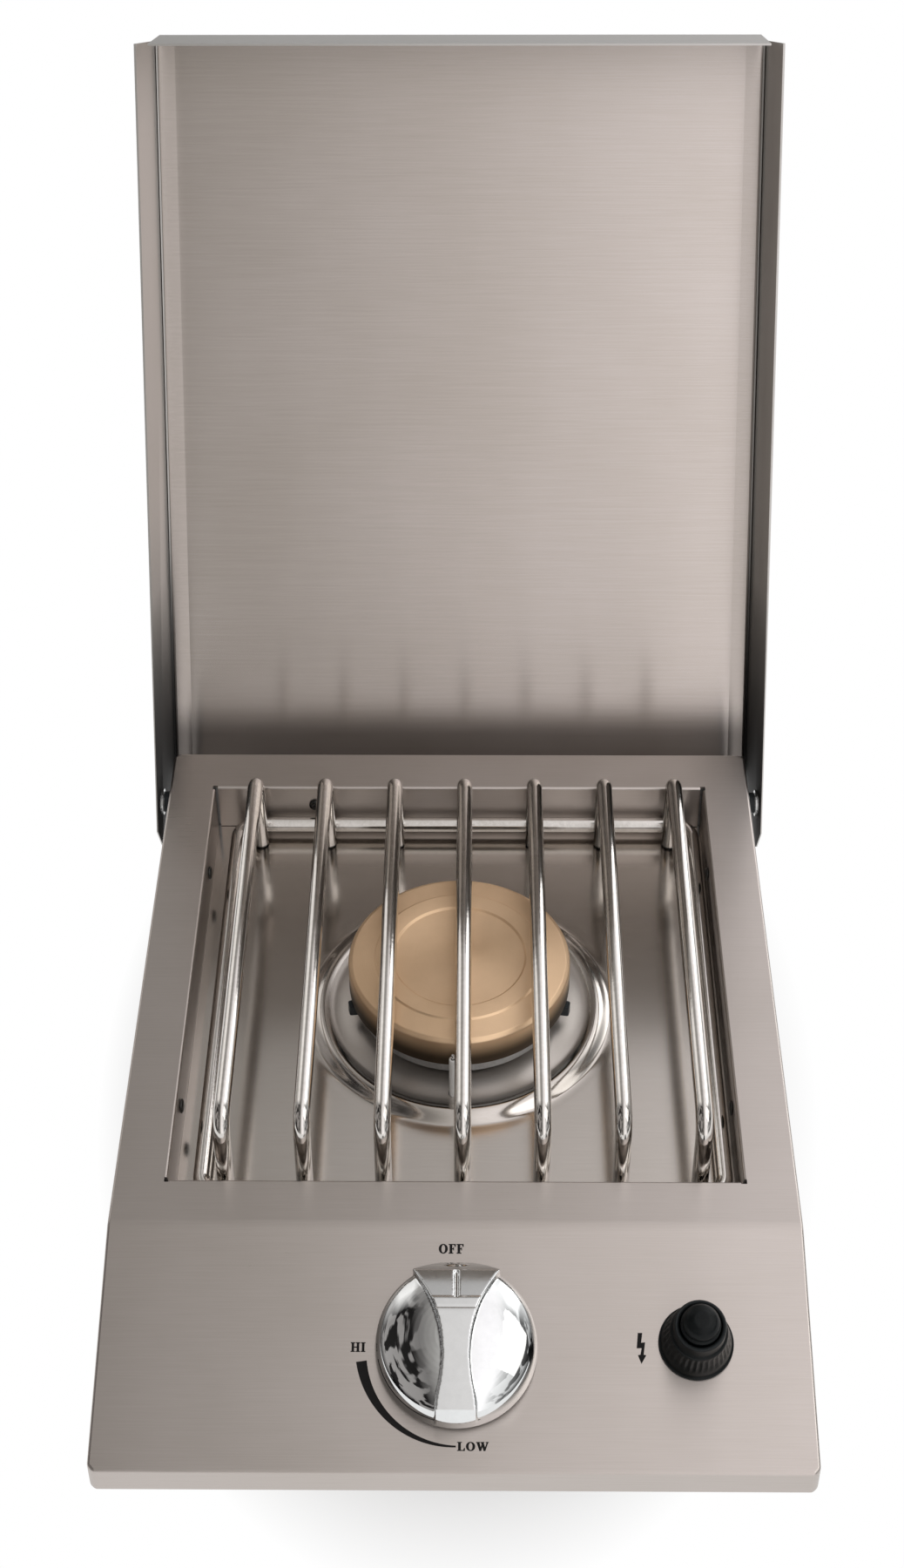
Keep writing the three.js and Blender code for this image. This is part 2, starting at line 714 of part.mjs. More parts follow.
// Gas valve, stem, push collar and knob on the panel
const valveTop = -sheet - gap;
const valveFloor = valveTop - valveBoreDepth;
const valveCore = turned([
  [0, valveFloor], [valveBore, valveFloor], [valveBore, valveTop - valveFlange / 2],
  [valveMouth, valveTop - valveFlange / 2], [valveMouth, valveTop],
  [valveFlangeRadius, valveTop], [valveFlangeRadius, valveTop - valveFlange],
  [valveRadius, valveTop - valveFlange], [valveRadius, -valveLength], [0, -valveLength],
]);
const outletStart = valveRadius / 2;
const outlet = join(
  rodY(outletRadius, outletStart, outletReach - outletTip, 0, 0, smallSides),
  rodY(outletTipRadius, outletStart, outletReach, 0, 0, smallSides));
const outletTurn = new THREE.Matrix4().makeRotationX(-panelSlope);
outletTurn.setPosition(0, 0, -valveOutletDepth);
const inletCut = rodX(pipeRadius + gap, -valveRadius - overrun, -valveRadius / 2, 0, -pipeDepth,
  smallSides);
add('gas_valve', cut(join(valveCore, outlet.transform(outletTurn.toArray())), inletCut), brassy,
  valve);
add('valve_stem', rodZ(stemRadius, stemBottom, stemTop, 0, 0, smallSides), chromed, valve);
add('stem_collar', ringZ(collarInner, collarOuter, collarBottom, collarTop), brassy, valve);

// Knob: a domed disc with a hollow back, a raised hourglass grip and a pointer groove
const dome = turned([
  [0, knobHollowDepth], [knobHollowRadius, knobHollowDepth], [knobHollowRadius, 0],
  [knobRadius, 0], [knobRadius - knobTaper, knobRimHeight],
  ...knobDomeShares.map(([r, h]) => [knobRadius * r, knobCheekHeight * h]),
  [0, knobCheekHeight],
], knobSides);
const gripHalf = knobGripHalfShares.map(([x, y]) => [knobRadius * x, knobRadius * y]);
const gripPrism = prismZ([...gripHalf, ...gripHalf.map(([x, y]) => [-x, y]).reverse()],
  knobHollowDepth, knobGripHeight + overrun);
const gripSide = prismX(knobGripSideShares.map(([y, z]) => [-knobRadius * y, knobGripHeight * z]),
  -knobRadius, knobRadius);
const gripRound = rodZ(knobRadius - knobTaper, 0, knobGripHeight + overrun, 0, 0, knobSides);
const grip = solid(gripPrism).intersect(solid(gripSide)).intersect(solid(gripRound));
const pointer = block(-pointerWidth / 2, pointerWidth / 2, -pointerLength / 2, pointerLength / 2,
  -pointerDepth, knobRimHeight).rotateX(-pointerTilt)
  .translate(0, pointerCentreY, pointerHeight);
const socket = rodZ(knobSocketRadius, -overrun, knobSocketDepth, 0, 0, smallSides);
add('knob', cut(join(dome, grip), pointer, socket), chromed, valve).position.set(0, 0, knobLift);

// Gas inlet pipe and its fitting
const inletStart = new THREE.Vector3(-valveRadius * pipeStartShare, 0, -pipeDepth)
  .applyMatrix4(valveFrame);
add('inlet_pipe', bentRod([
  inletStart, inletStart.clone().add(new THREE.Vector3(-pipeRun, 0, 0)),
  inletStart.clone().add(new THREE.Vector3(-pipeRun, 0, -pipeDrop)),
], pipeRadius, pipeBendRadius, pipeSides, pipeBore), brassy);
const fittingTop = inletStart.z - pipeDrop + fittingLength / 2;
add('inlet_fitting', cut(
  rodZ(fittingRadius, fittingTop - fittingLength, fittingTop, 0, 0, hexSides),
  rodZ(fittingBore, fittingTop - fittingLength - overrun, fittingTop + overrun, 0, 0,
    smallSides)), brassy)
  .position.set(inletStart.x - pipeRun, inletStart.y, 0);

// Igniter: ribbed bezel with a threaded barrel, nut, button and spark body
const igniter = new THREE.Group();
igniter.position.set(igniterX, -igniterAlong, 0);
panel.add(igniter);
const bezelFoot = [
  [bezelBore, barrelFloor], [0, barrelFloor], [0, barrelBottom], [barrelRadius, barrelBottom],
  [barrelRadius, gap], [bezelRadius, gap], [bezelRadius, bezelPlate],
];
const bezelCone = [
  [bezelConeRadius, bezelPlate], [bezelTopRadius + bezelRim, bezelHeight - bezelRim * 2],
];
const bezelProfile = [
  ...bezelFoot, ...bezelCone, [bezelTopRadius, bezelHeight - bezelRim],
  [bezelTopRadius, bezelHeight], [bezelTopRadius - bezelRim, bezelHeight],
  [bezelBore, bezelHeight - bezelRim], [bezelBore, barrelFloor],
];
const bezelBody = turned(bezelProfile, bezelRibs * 2);
const bezelPoints = bezelBody.attributes.position;
for (let turn = 1; turn < bezelRibs * 2; turn += 2) {
  bezelCone.forEach(([radius], row) => {
    const k = turn * bezelProfile.length + bezelFoot.length + row;
    const share = 1 - bezelRibDepth / radius;
    bezelPoints.setXYZ(k, bezelPoints.getX(k) * share, bezelPoints.getY(k) * share,
      bezelPoints.getZ(k));
  });
}
add('igniter_bezel', bezelBody, blackPlastic, igniter);
add('igniter_button', turned([
  [0, buttonBottom], [buttonRadius, buttonBottom], [buttonRadius, buttonEdge],
  ...buttonCrownShares.map(([r, h]) => [
    buttonRadius * r, buttonEdge + (buttonTop - buttonEdge) * h,
  ]), [0, buttonTop],
]), blackPlastic, igniter);
const nutTop = -sheet - gap;
add('igniter_nut', ringZ(barrelRadius + gap, nutOuter, nutTop - nutThickness, nutTop),
  blackPlastic, igniter);
const bodyTop = barrelBottom - gap;
const terminals = [-1, 1].map((side) => block(
  side * igniterBodyRadius / 2 - terminalWidth / 2,
  side * igniterBodyRadius / 2 + terminalWidth / 2, -terminalThickness / 2,
  terminalThickness / 2, bodyTop - igniterBodyLength - terminalLength,
  bodyTop - igniterBodyLength + overrun));
add('igniter_body', join(rodZ(igniterBodyRadius, bodyTop - igniterBodyLength, bodyTop, 0, 0),
  ...terminals), blackPlastic, igniter);

// Grate: a bent rod ring with seven bars whose ends turn down inside it
const grateRingHalfWidth = openingHalfWidth - grateSideGap;
const barPitch = 2 * (grateRingHalfWidth - barToSide) / (barCount - 1);
const ringBack = -openingBack - grateBackWallGap;
const ringFront = -openingFront + grateBackWallGap;
const ringRight = grateShiftX + grateRingHalfWidth;
const ringLeft = grateShiftX - grateRingHalfWidth;
const loop = bentRod([
  new THREE.Vector3(grateShiftX + weldSlit / 2, ringFront, grateRingZ),
  new THREE.Vector3(ringRight, ringFront, grateRingZ),
  new THREE.Vector3(ringRight, ringBack, grateRingZ),
  new THREE.Vector3(ringLeft, ringBack, grateRingZ),
  new THREE.Vector3(ringLeft, ringFront, grateRingZ),
  new THREE.Vector3(grateShiftX - weldSlit / 2, ringFront, grateRingZ),
], grateRodRadius, grateCornerRadius);
const bead = rodX(grateRodRadius + weldRise, grateShiftX - weldLength / 2,
  grateShiftX + weldLength / 2, ringFront, grateRingZ, rodSides);
const legGap = grateRodRadius + gap + grateBarRadius;
const legFront = ringFront + legGap + weldRise;
add('grate_ring', join(loop, bead), chromed);
const legBack = ringBack - legGap;
for (let k = 0; k < barCount; k += 1) {
  const x = grateShiftX + (k - (barCount - 1) / 2) * barPitch;
  add(`grate_bar_${k + 1}`, bentRod([
    new THREE.Vector3(x, legBack, barFootZ), new THREE.Vector3(x, legBack, barTopZ),
    new THREE.Vector3(x, legFront, barTopZ), new THREE.Vector3(x, legFront, barFootZ),
  ], grateBarRadius, barBend), chromed);
}

// Lid: a folded hood with side flanges, a slanted front flange and an inner liner
const lid = new THREE.Group();
lid.position.set(0, lidPivotY, lidPivotZ);
lid.rotation.x = -lidLean;
object.add(lid);
const lidHalf = halfWidth + lidOverhang;
const lidFront = lidPivotY - frontY + lidFrontGap;
const linerHalfWidth = lidHalf - lidSheet - linerSideGap;
const freeY = -lidFreeEdge;
const skinY = lidFlange - lidFreeEdge;
const slantRun = Math.tan(lidFrontSlant);
const skinEnd = lidFront - lidFlange * slantRun;
const lidSide = [
  [freeY, lidHeelTop], [freeY, lidFront], [skinY, skinEnd], [skinY, 0],
  [freeY + lidHeelDepth, lidHeelLow],
];
const lidHollow = [
  [freeY - overrun, lidHeelLow - overrun],
  [freeY - overrun, lidFront - lidSheet + overrun * slantRun],
  [skinY - lidSheet, skinEnd + lidSheet * slantRun - lidSheet],
  [skinY - lidSheet, lidHeelLow - overrun],
];
const lidShell = cut(prismX(lidSide, -lidHalf, lidHalf),
  prismX(lidHollow, -lidHalf + lidSheet, lidHalf - lidSheet),
  ...[-1, 1].map((side) => rodX(hingeHole, side * lidHalf - lidSheet - overrun,
    side * lidHalf + lidSheet + overrun, 0, 0, smallSides)));
add('lid_shell', lidShell, brushed, lid);
const marginBack = skinY - lidSheet - gap;
const marginFront = marginBack - lidSheet;
const fieldHalf = linerHalfWidth - linerMargin - linerSlope;
const linerSection = [
  [-linerHalfWidth, marginBack], [-linerHalfWidth + linerMargin, marginBack],
  [-fieldHalf, marginBack - linerRise], [fieldHalf, marginBack - linerRise],
  [linerHalfWidth - linerMargin, marginBack], [linerHalfWidth, marginBack],
  [linerHalfWidth, marginFront - linerHemRise],
  [linerHalfWidth - linerHem, marginFront - linerHemRise],
  [linerHalfWidth - linerHem, marginFront], [linerHalfWidth - linerMargin, marginFront],
  [fieldHalf, marginFront - linerRise], [-fieldHalf, marginFront - linerRise],
  [-linerHalfWidth + linerMargin, marginFront], [-linerHalfWidth + linerHem, marginFront],
  [-linerHalfWidth + linerHem, marginFront - linerHemRise],
  [-linerHalfWidth, marginFront - linerHemRise],
];
add('lid_liner', prismZ(linerSection, linerStart, skinEnd - lidSheet - linerEndGap), inner, lid);

// Hinge hardware on each side, all on the pivot's axis
const lidInside = lidHalf - lidSheet;
for (const side of [-1, 1]) {
  const word = side < 0 ? 'left' : 'right';
  const turn = side < 0 ? Math.PI : 0;
  const onLid = new THREE.Group();
  onLid.rotation.z = turn;
  lid.add(onLid);
  const onBase = new THREE.Group();
  onBase.position.set(0, lidPivotY, lidPivotZ);
  onBase.rotation.z = turn;
  object.add(onBase);
  const ring = (outer, hole, x0, x1) => ringZ(hole, outer, x0, x1).rotateY(Math.PI / 2);
  add(`hinge_pin_${word}`, rodX(hingePin, halfWidth - pinEnd, lidHalf, 0, 0, smallSides), chromed,
    onLid);
  add(`hinge_lid_washer_${word}`, ring(washerRadius, hingeHole, lidInside - gap - washer,
    lidInside - gap), chromed, onLid);
  add(`hinge_bush_${word}`, ring(bushRadius, hingeHole, halfWidth + gap * 2 + washer,
    lidInside - gap * 2 - washer), blackPlastic, onBase);
  add(`hinge_base_washer_${word}`, ring(washerRadius, hingeHole, halfWidth + gap,
    halfWidth + gap + washer), chromed, onBase);
  const nutStart = halfWidth - sheet - gap - nutLength;
  add(`hinge_nut_${word}`, cut(rodX(nutRadius, nutStart, nutStart + nutLength, 0, 0, hexSides),
    rodX(hingeHole, nutStart - overrun, nutStart + nutLength + overrun, 0, 0, smallSides)),
  chromed, onBase);
}

// Origin at the bottom centre of the object's bounding box
object.updateMatrixWorld(true);
const bounds = new THREE.Box3().setFromObject(object, true);
const middle = bounds.getCenter(new THREE.Vector3());
object.position.set(-middle.x, -middle.y, -bounds.min.z);
object.updateMatrixWorld(true);

export default object;
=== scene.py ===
"""A built in side burner with its lid open: brushed steel deck and lid, polished drip tray, wire
grate, brass burner cap, chrome knob and push igniter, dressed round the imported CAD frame."""

import math

import bmesh
import bpy
from mathutils import Matrix, Vector


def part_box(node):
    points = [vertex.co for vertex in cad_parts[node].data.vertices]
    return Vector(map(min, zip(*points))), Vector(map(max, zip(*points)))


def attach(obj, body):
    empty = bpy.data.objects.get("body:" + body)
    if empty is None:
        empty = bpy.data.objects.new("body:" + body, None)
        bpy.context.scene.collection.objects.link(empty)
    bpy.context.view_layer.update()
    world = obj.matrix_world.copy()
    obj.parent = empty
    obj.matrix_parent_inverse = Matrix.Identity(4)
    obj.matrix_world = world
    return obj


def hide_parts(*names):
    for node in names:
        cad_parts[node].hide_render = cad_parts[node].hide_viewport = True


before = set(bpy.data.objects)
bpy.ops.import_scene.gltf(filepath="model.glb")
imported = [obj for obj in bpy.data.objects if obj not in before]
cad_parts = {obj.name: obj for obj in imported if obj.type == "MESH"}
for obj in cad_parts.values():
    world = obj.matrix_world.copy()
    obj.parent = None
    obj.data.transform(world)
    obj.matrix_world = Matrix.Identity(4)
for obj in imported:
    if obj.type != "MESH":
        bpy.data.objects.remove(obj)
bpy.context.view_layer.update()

MM = 0.001

# Deck and panel, millimetres
DECK_HALF = 152.5
DECK_DEPTH = 306.5
PANEL_LENGTH = 106
PANEL_SLOPE = math.radians(17.9)
LIP_HEIGHT = 14.2
SHEET = 1.2
CORNER_RADIUS = 4
CORNER_CUT = 2.5
REST_FLANGE = 9
OPENING_HALF = 128.4
OPENING_BACK = -26.7
OPENING_FRONT = -282.5
WELL_DEPTH = 27.7
RELIEF_RADIUS = 1.2
BEND_WIDTH = 1.3
BREAK_WIDTH = 2.6
BURNER_X = 1
BURNER_Y = (OPENING_BACK + OPENING_FRONT) / 2

# Lid, in its own frame: y from the pivot to the skin, z along the lid
LID_HALF = 160.5
LID_PIVOT = (-18.5, -18)
LID_LEAN = math.radians(26.7)
LID_FREE = -13
LID_SKIN = 62
LID_FRONT = 393
LID_SKIN_END = 399.16
LID_SIDE_END = 396
LID_SHEET = 1
LID_BEND = 1.6
LID_BROAD_BEND = 2

# Places on the panel: across, and along from the break line
KNOB_PLACE = (1, 54.2)
KNOB_HOLE = 6.2
KNOB_LIFT = 2.9
IGNITER_PLACE = (103, 51.6)
IGNITER_HOLE = 12.1

ELECTRODE_PLACE = (-1.6, BURNER_Y - 57.2)
ELECTRODE_HOLE = 2.3

_, deck_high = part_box("top_deck")
DECK = Matrix.Translation((0, deck_high.y, deck_high.z))


def on_deck(x, y, z=0.0):
    """A place from the middle of the deck's back edge, in millimetres."""
    return DECK @ Matrix.Translation((x * MM, y * MM, z * MM))


PANEL = on_deck(0, -DECK_DEPTH) @ Matrix.Rotation(PANEL_SLOPE, 4, "X")
LID = on_deck(0, *LID_PIVOT) @ Matrix.Rotation(-LID_LEAN, 4, "X")


def on_panel(x, along, z=0.0):
    """A place from the middle of the break line, in millimetres down the panel."""
    return PANEL @ Matrix.Translation((x * MM, -along * MM, z * MM))


# ---------------------------------------------------------------- outlines and meshes


def round_turns(count):
    """The angles of even steps round a circle."""
    return [2 * math.pi * k / count for k in range(count)]


def rounded(last, here, following, radius, parts):
    """An arc of points in place of the corner at here. It takes less than half of each side."""
    to_last, to_next = last - here, following - here
    half = to_last.angle(to_next) / 2
    reach = min(radius / math.tan(half), to_last.length * 0.49, to_next.length * 0.49)
    to_last, to_next = to_last.normalized(), to_next.normalized()
    bend = reach * math.tan(half)
    middle = here + (to_last + to_next).normalized() * (bend / math.sin(half))
    start = here + to_last * reach - middle
    end = here + to_next * reach - middle
    sweep = math.pi - 2 * half
    made = []
    for step in range(parts + 1):
        share = step / parts
        arm = start * math.sin((1 - share) * sweep) + end * math.sin(share * sweep)
        made.append(middle + arm / math.sin(sweep))
    return made


def filleted(corners, parts=5, closed=True):
    """Points of an outline in x, y or of a path in x, y, z. The last number of each corner is the
    radius of the arc that takes its place."""
    spots = [Vector(corner[:-1]) for corner in corners]
    made = []
    for k, here in enumerate(spots):
        radius = corners[k][-1]
        if radius and (closed or 0 < k < len(spots) - 1):
            made += rounded(spots[k - 1], here, spots[(k + 1) % len(spots)], radius, parts)
        else:
            made.append(here)
    return made


def smooth_line(points, parts=4):
    """A Catmull-Rom line through the points."""
    points = [Vector(p) for p in points]
    ends = [2 * points[0] - points[1], *points, 2 * points[-1] - points[-2]]
    made = []
    for k in range(1, len(ends) - 2):
        a, b, c, d = ends[k - 1 : k + 3]
        for step in range(parts):
            t = step / parts
            made.append(0.5 * (2 * b + (c - a) * t + (2 * a - 5 * b + 4 * c - d) * t * t
                               + (3 * b - a - 3 * c + d) * t**3))
    made.append(points[-1])
    return made


def walls(rows, ring=False):
    """Faces between rows of point numbers that run round. A ring's last row meets its first."""
    faces = []
    for a, b in zip(rows, rows[1:] + (rows[:1] if ring else [])):
        count = len(a)
        faces += [[a[k], a[(k + 1) % count], b[(k + 1) % count], b[k]] for k in range(count)]
    return faces


def undoubled(face):
    """A face without the same point twice in a row."""
    return [i for k, i in enumerate(face) if i != face[k - 1]]


def turned(profile, sides=96, wave=None):
    """A solid of revolution about z from (radius, height) points.
    It is closed at the axis, or else as a ring. wave(k, r, z) may change a point at side k."""
    points, rows = [], []
    for r, z in profile:
        if r < 1e-6:
            points.append((0, 0, z))
            rows.append([len(points) - 1] * sides)
            continue
        rows.append(range(len(points), len(points) + sides))
        for k, turn in enumerate(round_turns(sides)):
            rr, zz = wave(k, r, z) if wave else (r, z)
            points.append((rr * math.cos(turn), rr * math.sin(turn), zz))
    faces = [undoubled(face) for face in walls(rows, ring=profile[0][0] > 1e-6)]
    return points, [face for face in faces if len(face) > 2]


def prism(outline, low, high):
    """An outline in x, y raised from low to high."""
    count = len(outline)
    points = [(p[0], p[1], z) for z in (low, high) for p in outline]
    under, over = range(count), range(count, 2 * count)
    return points, [[*reversed(under)], [*over], *walls([under, over])]


def band(outer, inner, low, high):
    """A ring between two outlines with the same number of points, raised from low to high."""
    count = len(outer)
    loops = [(outer, low), (outer, high), (inner, high), (inner, low)]
    points = [(p[0], p[1], z) for loop, z in loops for p in loop]
    return points, walls([range(k * count, (k + 1) * count) for k in range(4)], ring=True)


def swept(path, radius, sides=28, closed=False, chamfer=0.5):
    """A round rod along a path. An open rod has cut ends with a small chamfer."""
    if not closed:
        first = (path[1] - path[0]).normalized() * chamfer
        last = (path[-1] - path[-2]).normalized() * chamfer
        path = [path[0], path[0] + first, *path[1:-1], path[-1] - last, path[-1]]
    count = len(path)
    side = Vector((1, 0, 0)) if abs((path[1] - path[0]).normalized().x) < 0.9 else Vector((0, 0, 1))
    points, rows = [], []
    for k, here in enumerate(path):
        if closed:
            along = (path[(k + 1) % count] - path[k - 1]).normalized()
        else:
            along = (path[min(k + 1, count - 1)] - path[max(k - 1, 0)]).normalized()
        side = (side - along * side.dot(along)).normalized()
        other = along.cross(side)
        r = radius - chamfer if not closed and k in (0, count - 1) else radius
        rows.append(range(len(points), len(points) + sides))
        for turn in round_turns(sides):
            points.append(here + (side * math.cos(turn) + other * math.sin(turn)) * r)
    faces = walls(rows, ring=closed)
    if not closed:
        faces += [[*reversed(rows[0])], [*rows[-1]]]
    return points, faces


class Folded:
    """A sheet laid out face by face, with shared corners."""

    def __init__(self):
        self.points = []
        self.places = {}
        self.faces = []

    def corner(self, p):
        key = tuple(round(c, 3) for c in p)
        if key not in self.places:
            self.places[key] = len(self.points)
            self.points.append(p)
        return self.places[key]

    def face(self, *corners):
        run = undoubled([self.corner(p) for p in corners])
        if len(run) > 2:
            self.faces.append(run)


def built(name, points, faces, place):
    """A mesh object from points in millimetres, faces outward, at a place in the frame."""
    mesh = bpy.data.meshes.new(name)
    mesh.from_pydata([Vector(p) * MM for p in points], [], [list(f) for f in faces])
    shape = bmesh.new()
    shape.from_mesh(mesh)
    bmesh.ops.recalc_face_normals(shape, faces=shape.faces)
    shape.to_mesh(mesh)
    shape.free()
    obj = bpy.data.objects.new(name, mesh)
    bpy.context.scene.collection.objects.link(obj)
    obj.matrix_world = place
    return obj


def settled(obj):
    """Applies the object's modifiers."""
    bpy.context.view_layer.update()
    seen = obj.evaluated_get(bpy.context.evaluated_depsgraph_get())
    mesh = bpy.data.meshes.new_from_object(seen)
    obj.modifiers.clear()
    obj.data = mesh
    return obj


def carved(obj, cutters, operation="DIFFERENCE"):
    """Cuts, joins or trims obj with closed cutters, which are then removed."""
    for cutter in cutters:
        step = obj.modifiers.new("cut", "BOOLEAN")
        step.operation = operation
        step.solver = "EXACT"
        step.object = cutter
    settled(obj)
    for cutter in cutters:
        bpy.data.objects.remove(cutter)
    return obj


def drilled(radius, place, low, high):
    """A cutter for a round hole along the place's z axis."""
    return built("drill", *turned([(0, low), (radius, low), (radius, high), (0, high)], 40), place)


def grained(obj):
    """A UV map whose u runs across the brushing, which lies along x."""
    mesh = obj.data
    layer = mesh.uv_layers.new(name="grain")
    for face in mesh.polygons:
        across = face.normal.cross(Vector((1, 0, 0)))
        across = across.normalized() if across.length > 0.3 else Vector((0, 0.3, 1)).normalized()
        if across.y + across.z < 0:
            across = -across
        for loop in face.loop_indices:
            p = mesh.vertices[mesh.loops[loop].vertex_index].co
            layer.data[loop].uv = (p.dot(across), p.x)
    return obj


def dressed(obj, body, finish, sharp=32, weighted=False):
    """Smooth shading, grain, finish and body for a piece that is in place."""
    obj.data.polygons.foreach_set("use_smooth", [True] * len(obj.data.polygons))
    obj.data.set_sharp_from_angle(angle=math.radians(sharp))
    grained(obj)
    if weighted:
        normals = obj.modifiers.new("flat faces stay flat", "WEIGHTED_NORMAL")
        normals.keep_sharp = True
        normals.weight = 100
    obj.data.materials.clear()
    obj.data.materials.append(finish)
    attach(obj, body)
    return obj


# ---------------------------------------------------------------- finishes

WHITE = (1, 1, 1, 1)
# black, the colour that the painted shade at a piece's foot blends towards
SHADE_BLACK = (0, 0, 0, 1)


def feed(tree, value, socket):
    """Links an output, or the first output that a node has in use, to a socket, or sets a value."""
    if isinstance(value, bpy.types.Node):
        value = next(output for output in value.outputs if output.enabled)
    if isinstance(value, bpy.types.NodeSocket):
        tree.links.new(value, socket)
    else:
        socket.default_value = value


def node(tree, kind, *feeds, **values):
    """A new node. The feeds go to its inputs in their order and each in_... value to the input of
    that name. The other values are its settings."""
    made = tree.nodes.new("ShaderNode" + kind)
    fed = dict(enumerate(feeds))
    for key, value in values.items():
        if key.startswith("in_"):
            fed[key[3:].replace("_", " ")] = value
        else:
            setattr(made, key, value)
    for key, value in fed.items():
        feed(tree, value, made.inputs[key])
    return made


def maths(tree, operation, *feeds):
    return node(tree, "Math", *feeds, operation=operation)


def vector_maths(tree, operation, *feeds):
    return node(tree, "VectorMath", *feeds, operation=operation)


def ranged(tree, value, low, high, start=0.0, end=1.0, **settings):
    """The value as it runs from low to high, turned into one that runs from start to end."""
    return node(tree, "MapRange", value, low, high, start, end, **settings)


def blended(tree, share, first, second, **settings):
    """The first colour at a share of 0, and the second at 1."""
    return node(tree, "Mix", data_type="RGBA", in_Factor=share, in_A=first, in_B=second, **settings)


def effect(name, output, **inputs):
    """An empty shader node group: its tree, its inputs by name and the socket of its output.
    The input None is a vector, the place on the piece, and a number is an input's usual value."""
    tree = bpy.data.node_groups.new(name, "ShaderNodeTree")
    for label, value in inputs.items():
        kind = "NodeSocketVector" if value is None else "NodeSocketFloat"
        socket = tree.interface.new_socket(label, in_out="INPUT", socket_type=kind)
        if value is not None:
            socket.default_value = value
    tree.interface.new_socket(output, in_out="OUTPUT", socket_type="NodeSocketFloat")
    start, end = tree.nodes.new("NodeGroupInput"), tree.nodes.new("NodeGroupOutput")
    return tree, start.outputs, end.inputs[output]


def brushing_effect():
    """Fine lines along x: Streaks runs from 0 to 1."""
    tree, given, streaks = effect("brushing", "Streaks", Place=None, Fineness=900.0, Stretch=60.0)
    fine = given["Fineness"]
    scale = node(tree, "CombineXYZ", maths(tree, "DIVIDE", fine, given["Stretch"]), fine, fine)
    place = vector_maths(tree, "MULTIPLY", given["Place"], scale)
    lines = node(tree, "TexNoise", in_Vector=place, in_Scale=1.0, in_Detail=3.0, in_Roughness=0.6)
    feed(tree, ranged(tree, lines, 0.3, 0.7), streaks)
    return tree


def patches_effect():
    """Broad soft patches, as from handling and heat: Patch runs from 0 to 1."""
    tree, given, patch = effect("soft patches", "Patch", Place=None, Scale=14.0)
    clouds = node(tree, "TexNoise", in_Vector=given["Place"], in_Scale=given["Scale"],
                  in_Detail=4.0, in_Roughness=0.55)
    feed(tree, ranged(tree, clouds, 0.35, 0.65), patch)
    return tree


def turning_effect():
    """Concentric lathe lines about the object's z axis: Rings runs from 0 to 1."""
    tree, given, rings = effect("turning", "Rings", Place=None, Fineness=1500.0)
    split = node(tree, "SeparateXYZ", given["Place"]).outputs
    radius = vector_maths(tree, "LENGTH", node(tree, "CombineXYZ", split["X"], split["Y"]))
    step = maths(tree, "MULTIPLY", maths(tree, "ADD", radius, split["Z"]), given["Fineness"])
    lines = node(tree, "TexNoise", noise_dimensions="1D", in_W=step, in_Scale=1.0, in_Detail=3.0)
    feed(tree, ranged(tree, lines, 0.3, 0.7), rings)
    return tree


def edge_wear_and_highlight_effect():
    """Lighter edges, real wear on the cast head and a painted highlight on the black plastic: the
    output is 1 on an edge and 0 on a flat face.
    """
    tree, given, wear_and_highlight = effect("edge wear and highlight", "Wear and highlight", Start=0.52, Full=0.6)
    edge = node(tree, "NewGeometry").outputs["Pointiness"]
    feed(tree, ranged(tree, edge, given["Start"], given["Full"]), wear_and_highlight)
    return tree


def painted_foot_shade_effect():
    """Painted shade at the foot of a piece: the output is Share below Low and 1 above High. It is 1
    too on an outer skin, which lies further from the middle plane than Inside or behind Skin."""
    tree, given, unshaded = effect("painted foot shade", "Unshaded", Place=None, Low=0.0, High=0.1, Share=0.3,
                                Inside=1.0, Skin=1.0)
    split = node(tree, "SeparateXYZ", given["Place"]).outputs
    rise = ranged(tree, split["Z"], given["Low"], given["High"], given["Share"],
                  interpolation_type="SMOOTHSTEP")
    outer = maths(tree, "GREATER_THAN", maths(tree, "ABSOLUTE", split["X"]), given["Inside"])
    behind = maths(tree, "GREATER_THAN", split["Y"], given["Skin"])
    either = maths(tree, "MAXIMUM", rise, outer)
    feed(tree, maths(tree, "MAXIMUM", either, behind), unshaded)
    return tree


BRUSHING = brushing_effect()
PATCHES = patches_effect()
TURNING = turning_effect()
EDGE_WEAR_AND_HIGHLIGHT = edge_wear_and_highlight_effect()
PAINTED_FOOT_SHADE = painted_foot_shade_effect()

PATCH_SHARE = 0.55
RELIEF_DEPTH = 0.0004
COAT_ROUGHNESS = 0.12
WARM_EDGE = 0.001


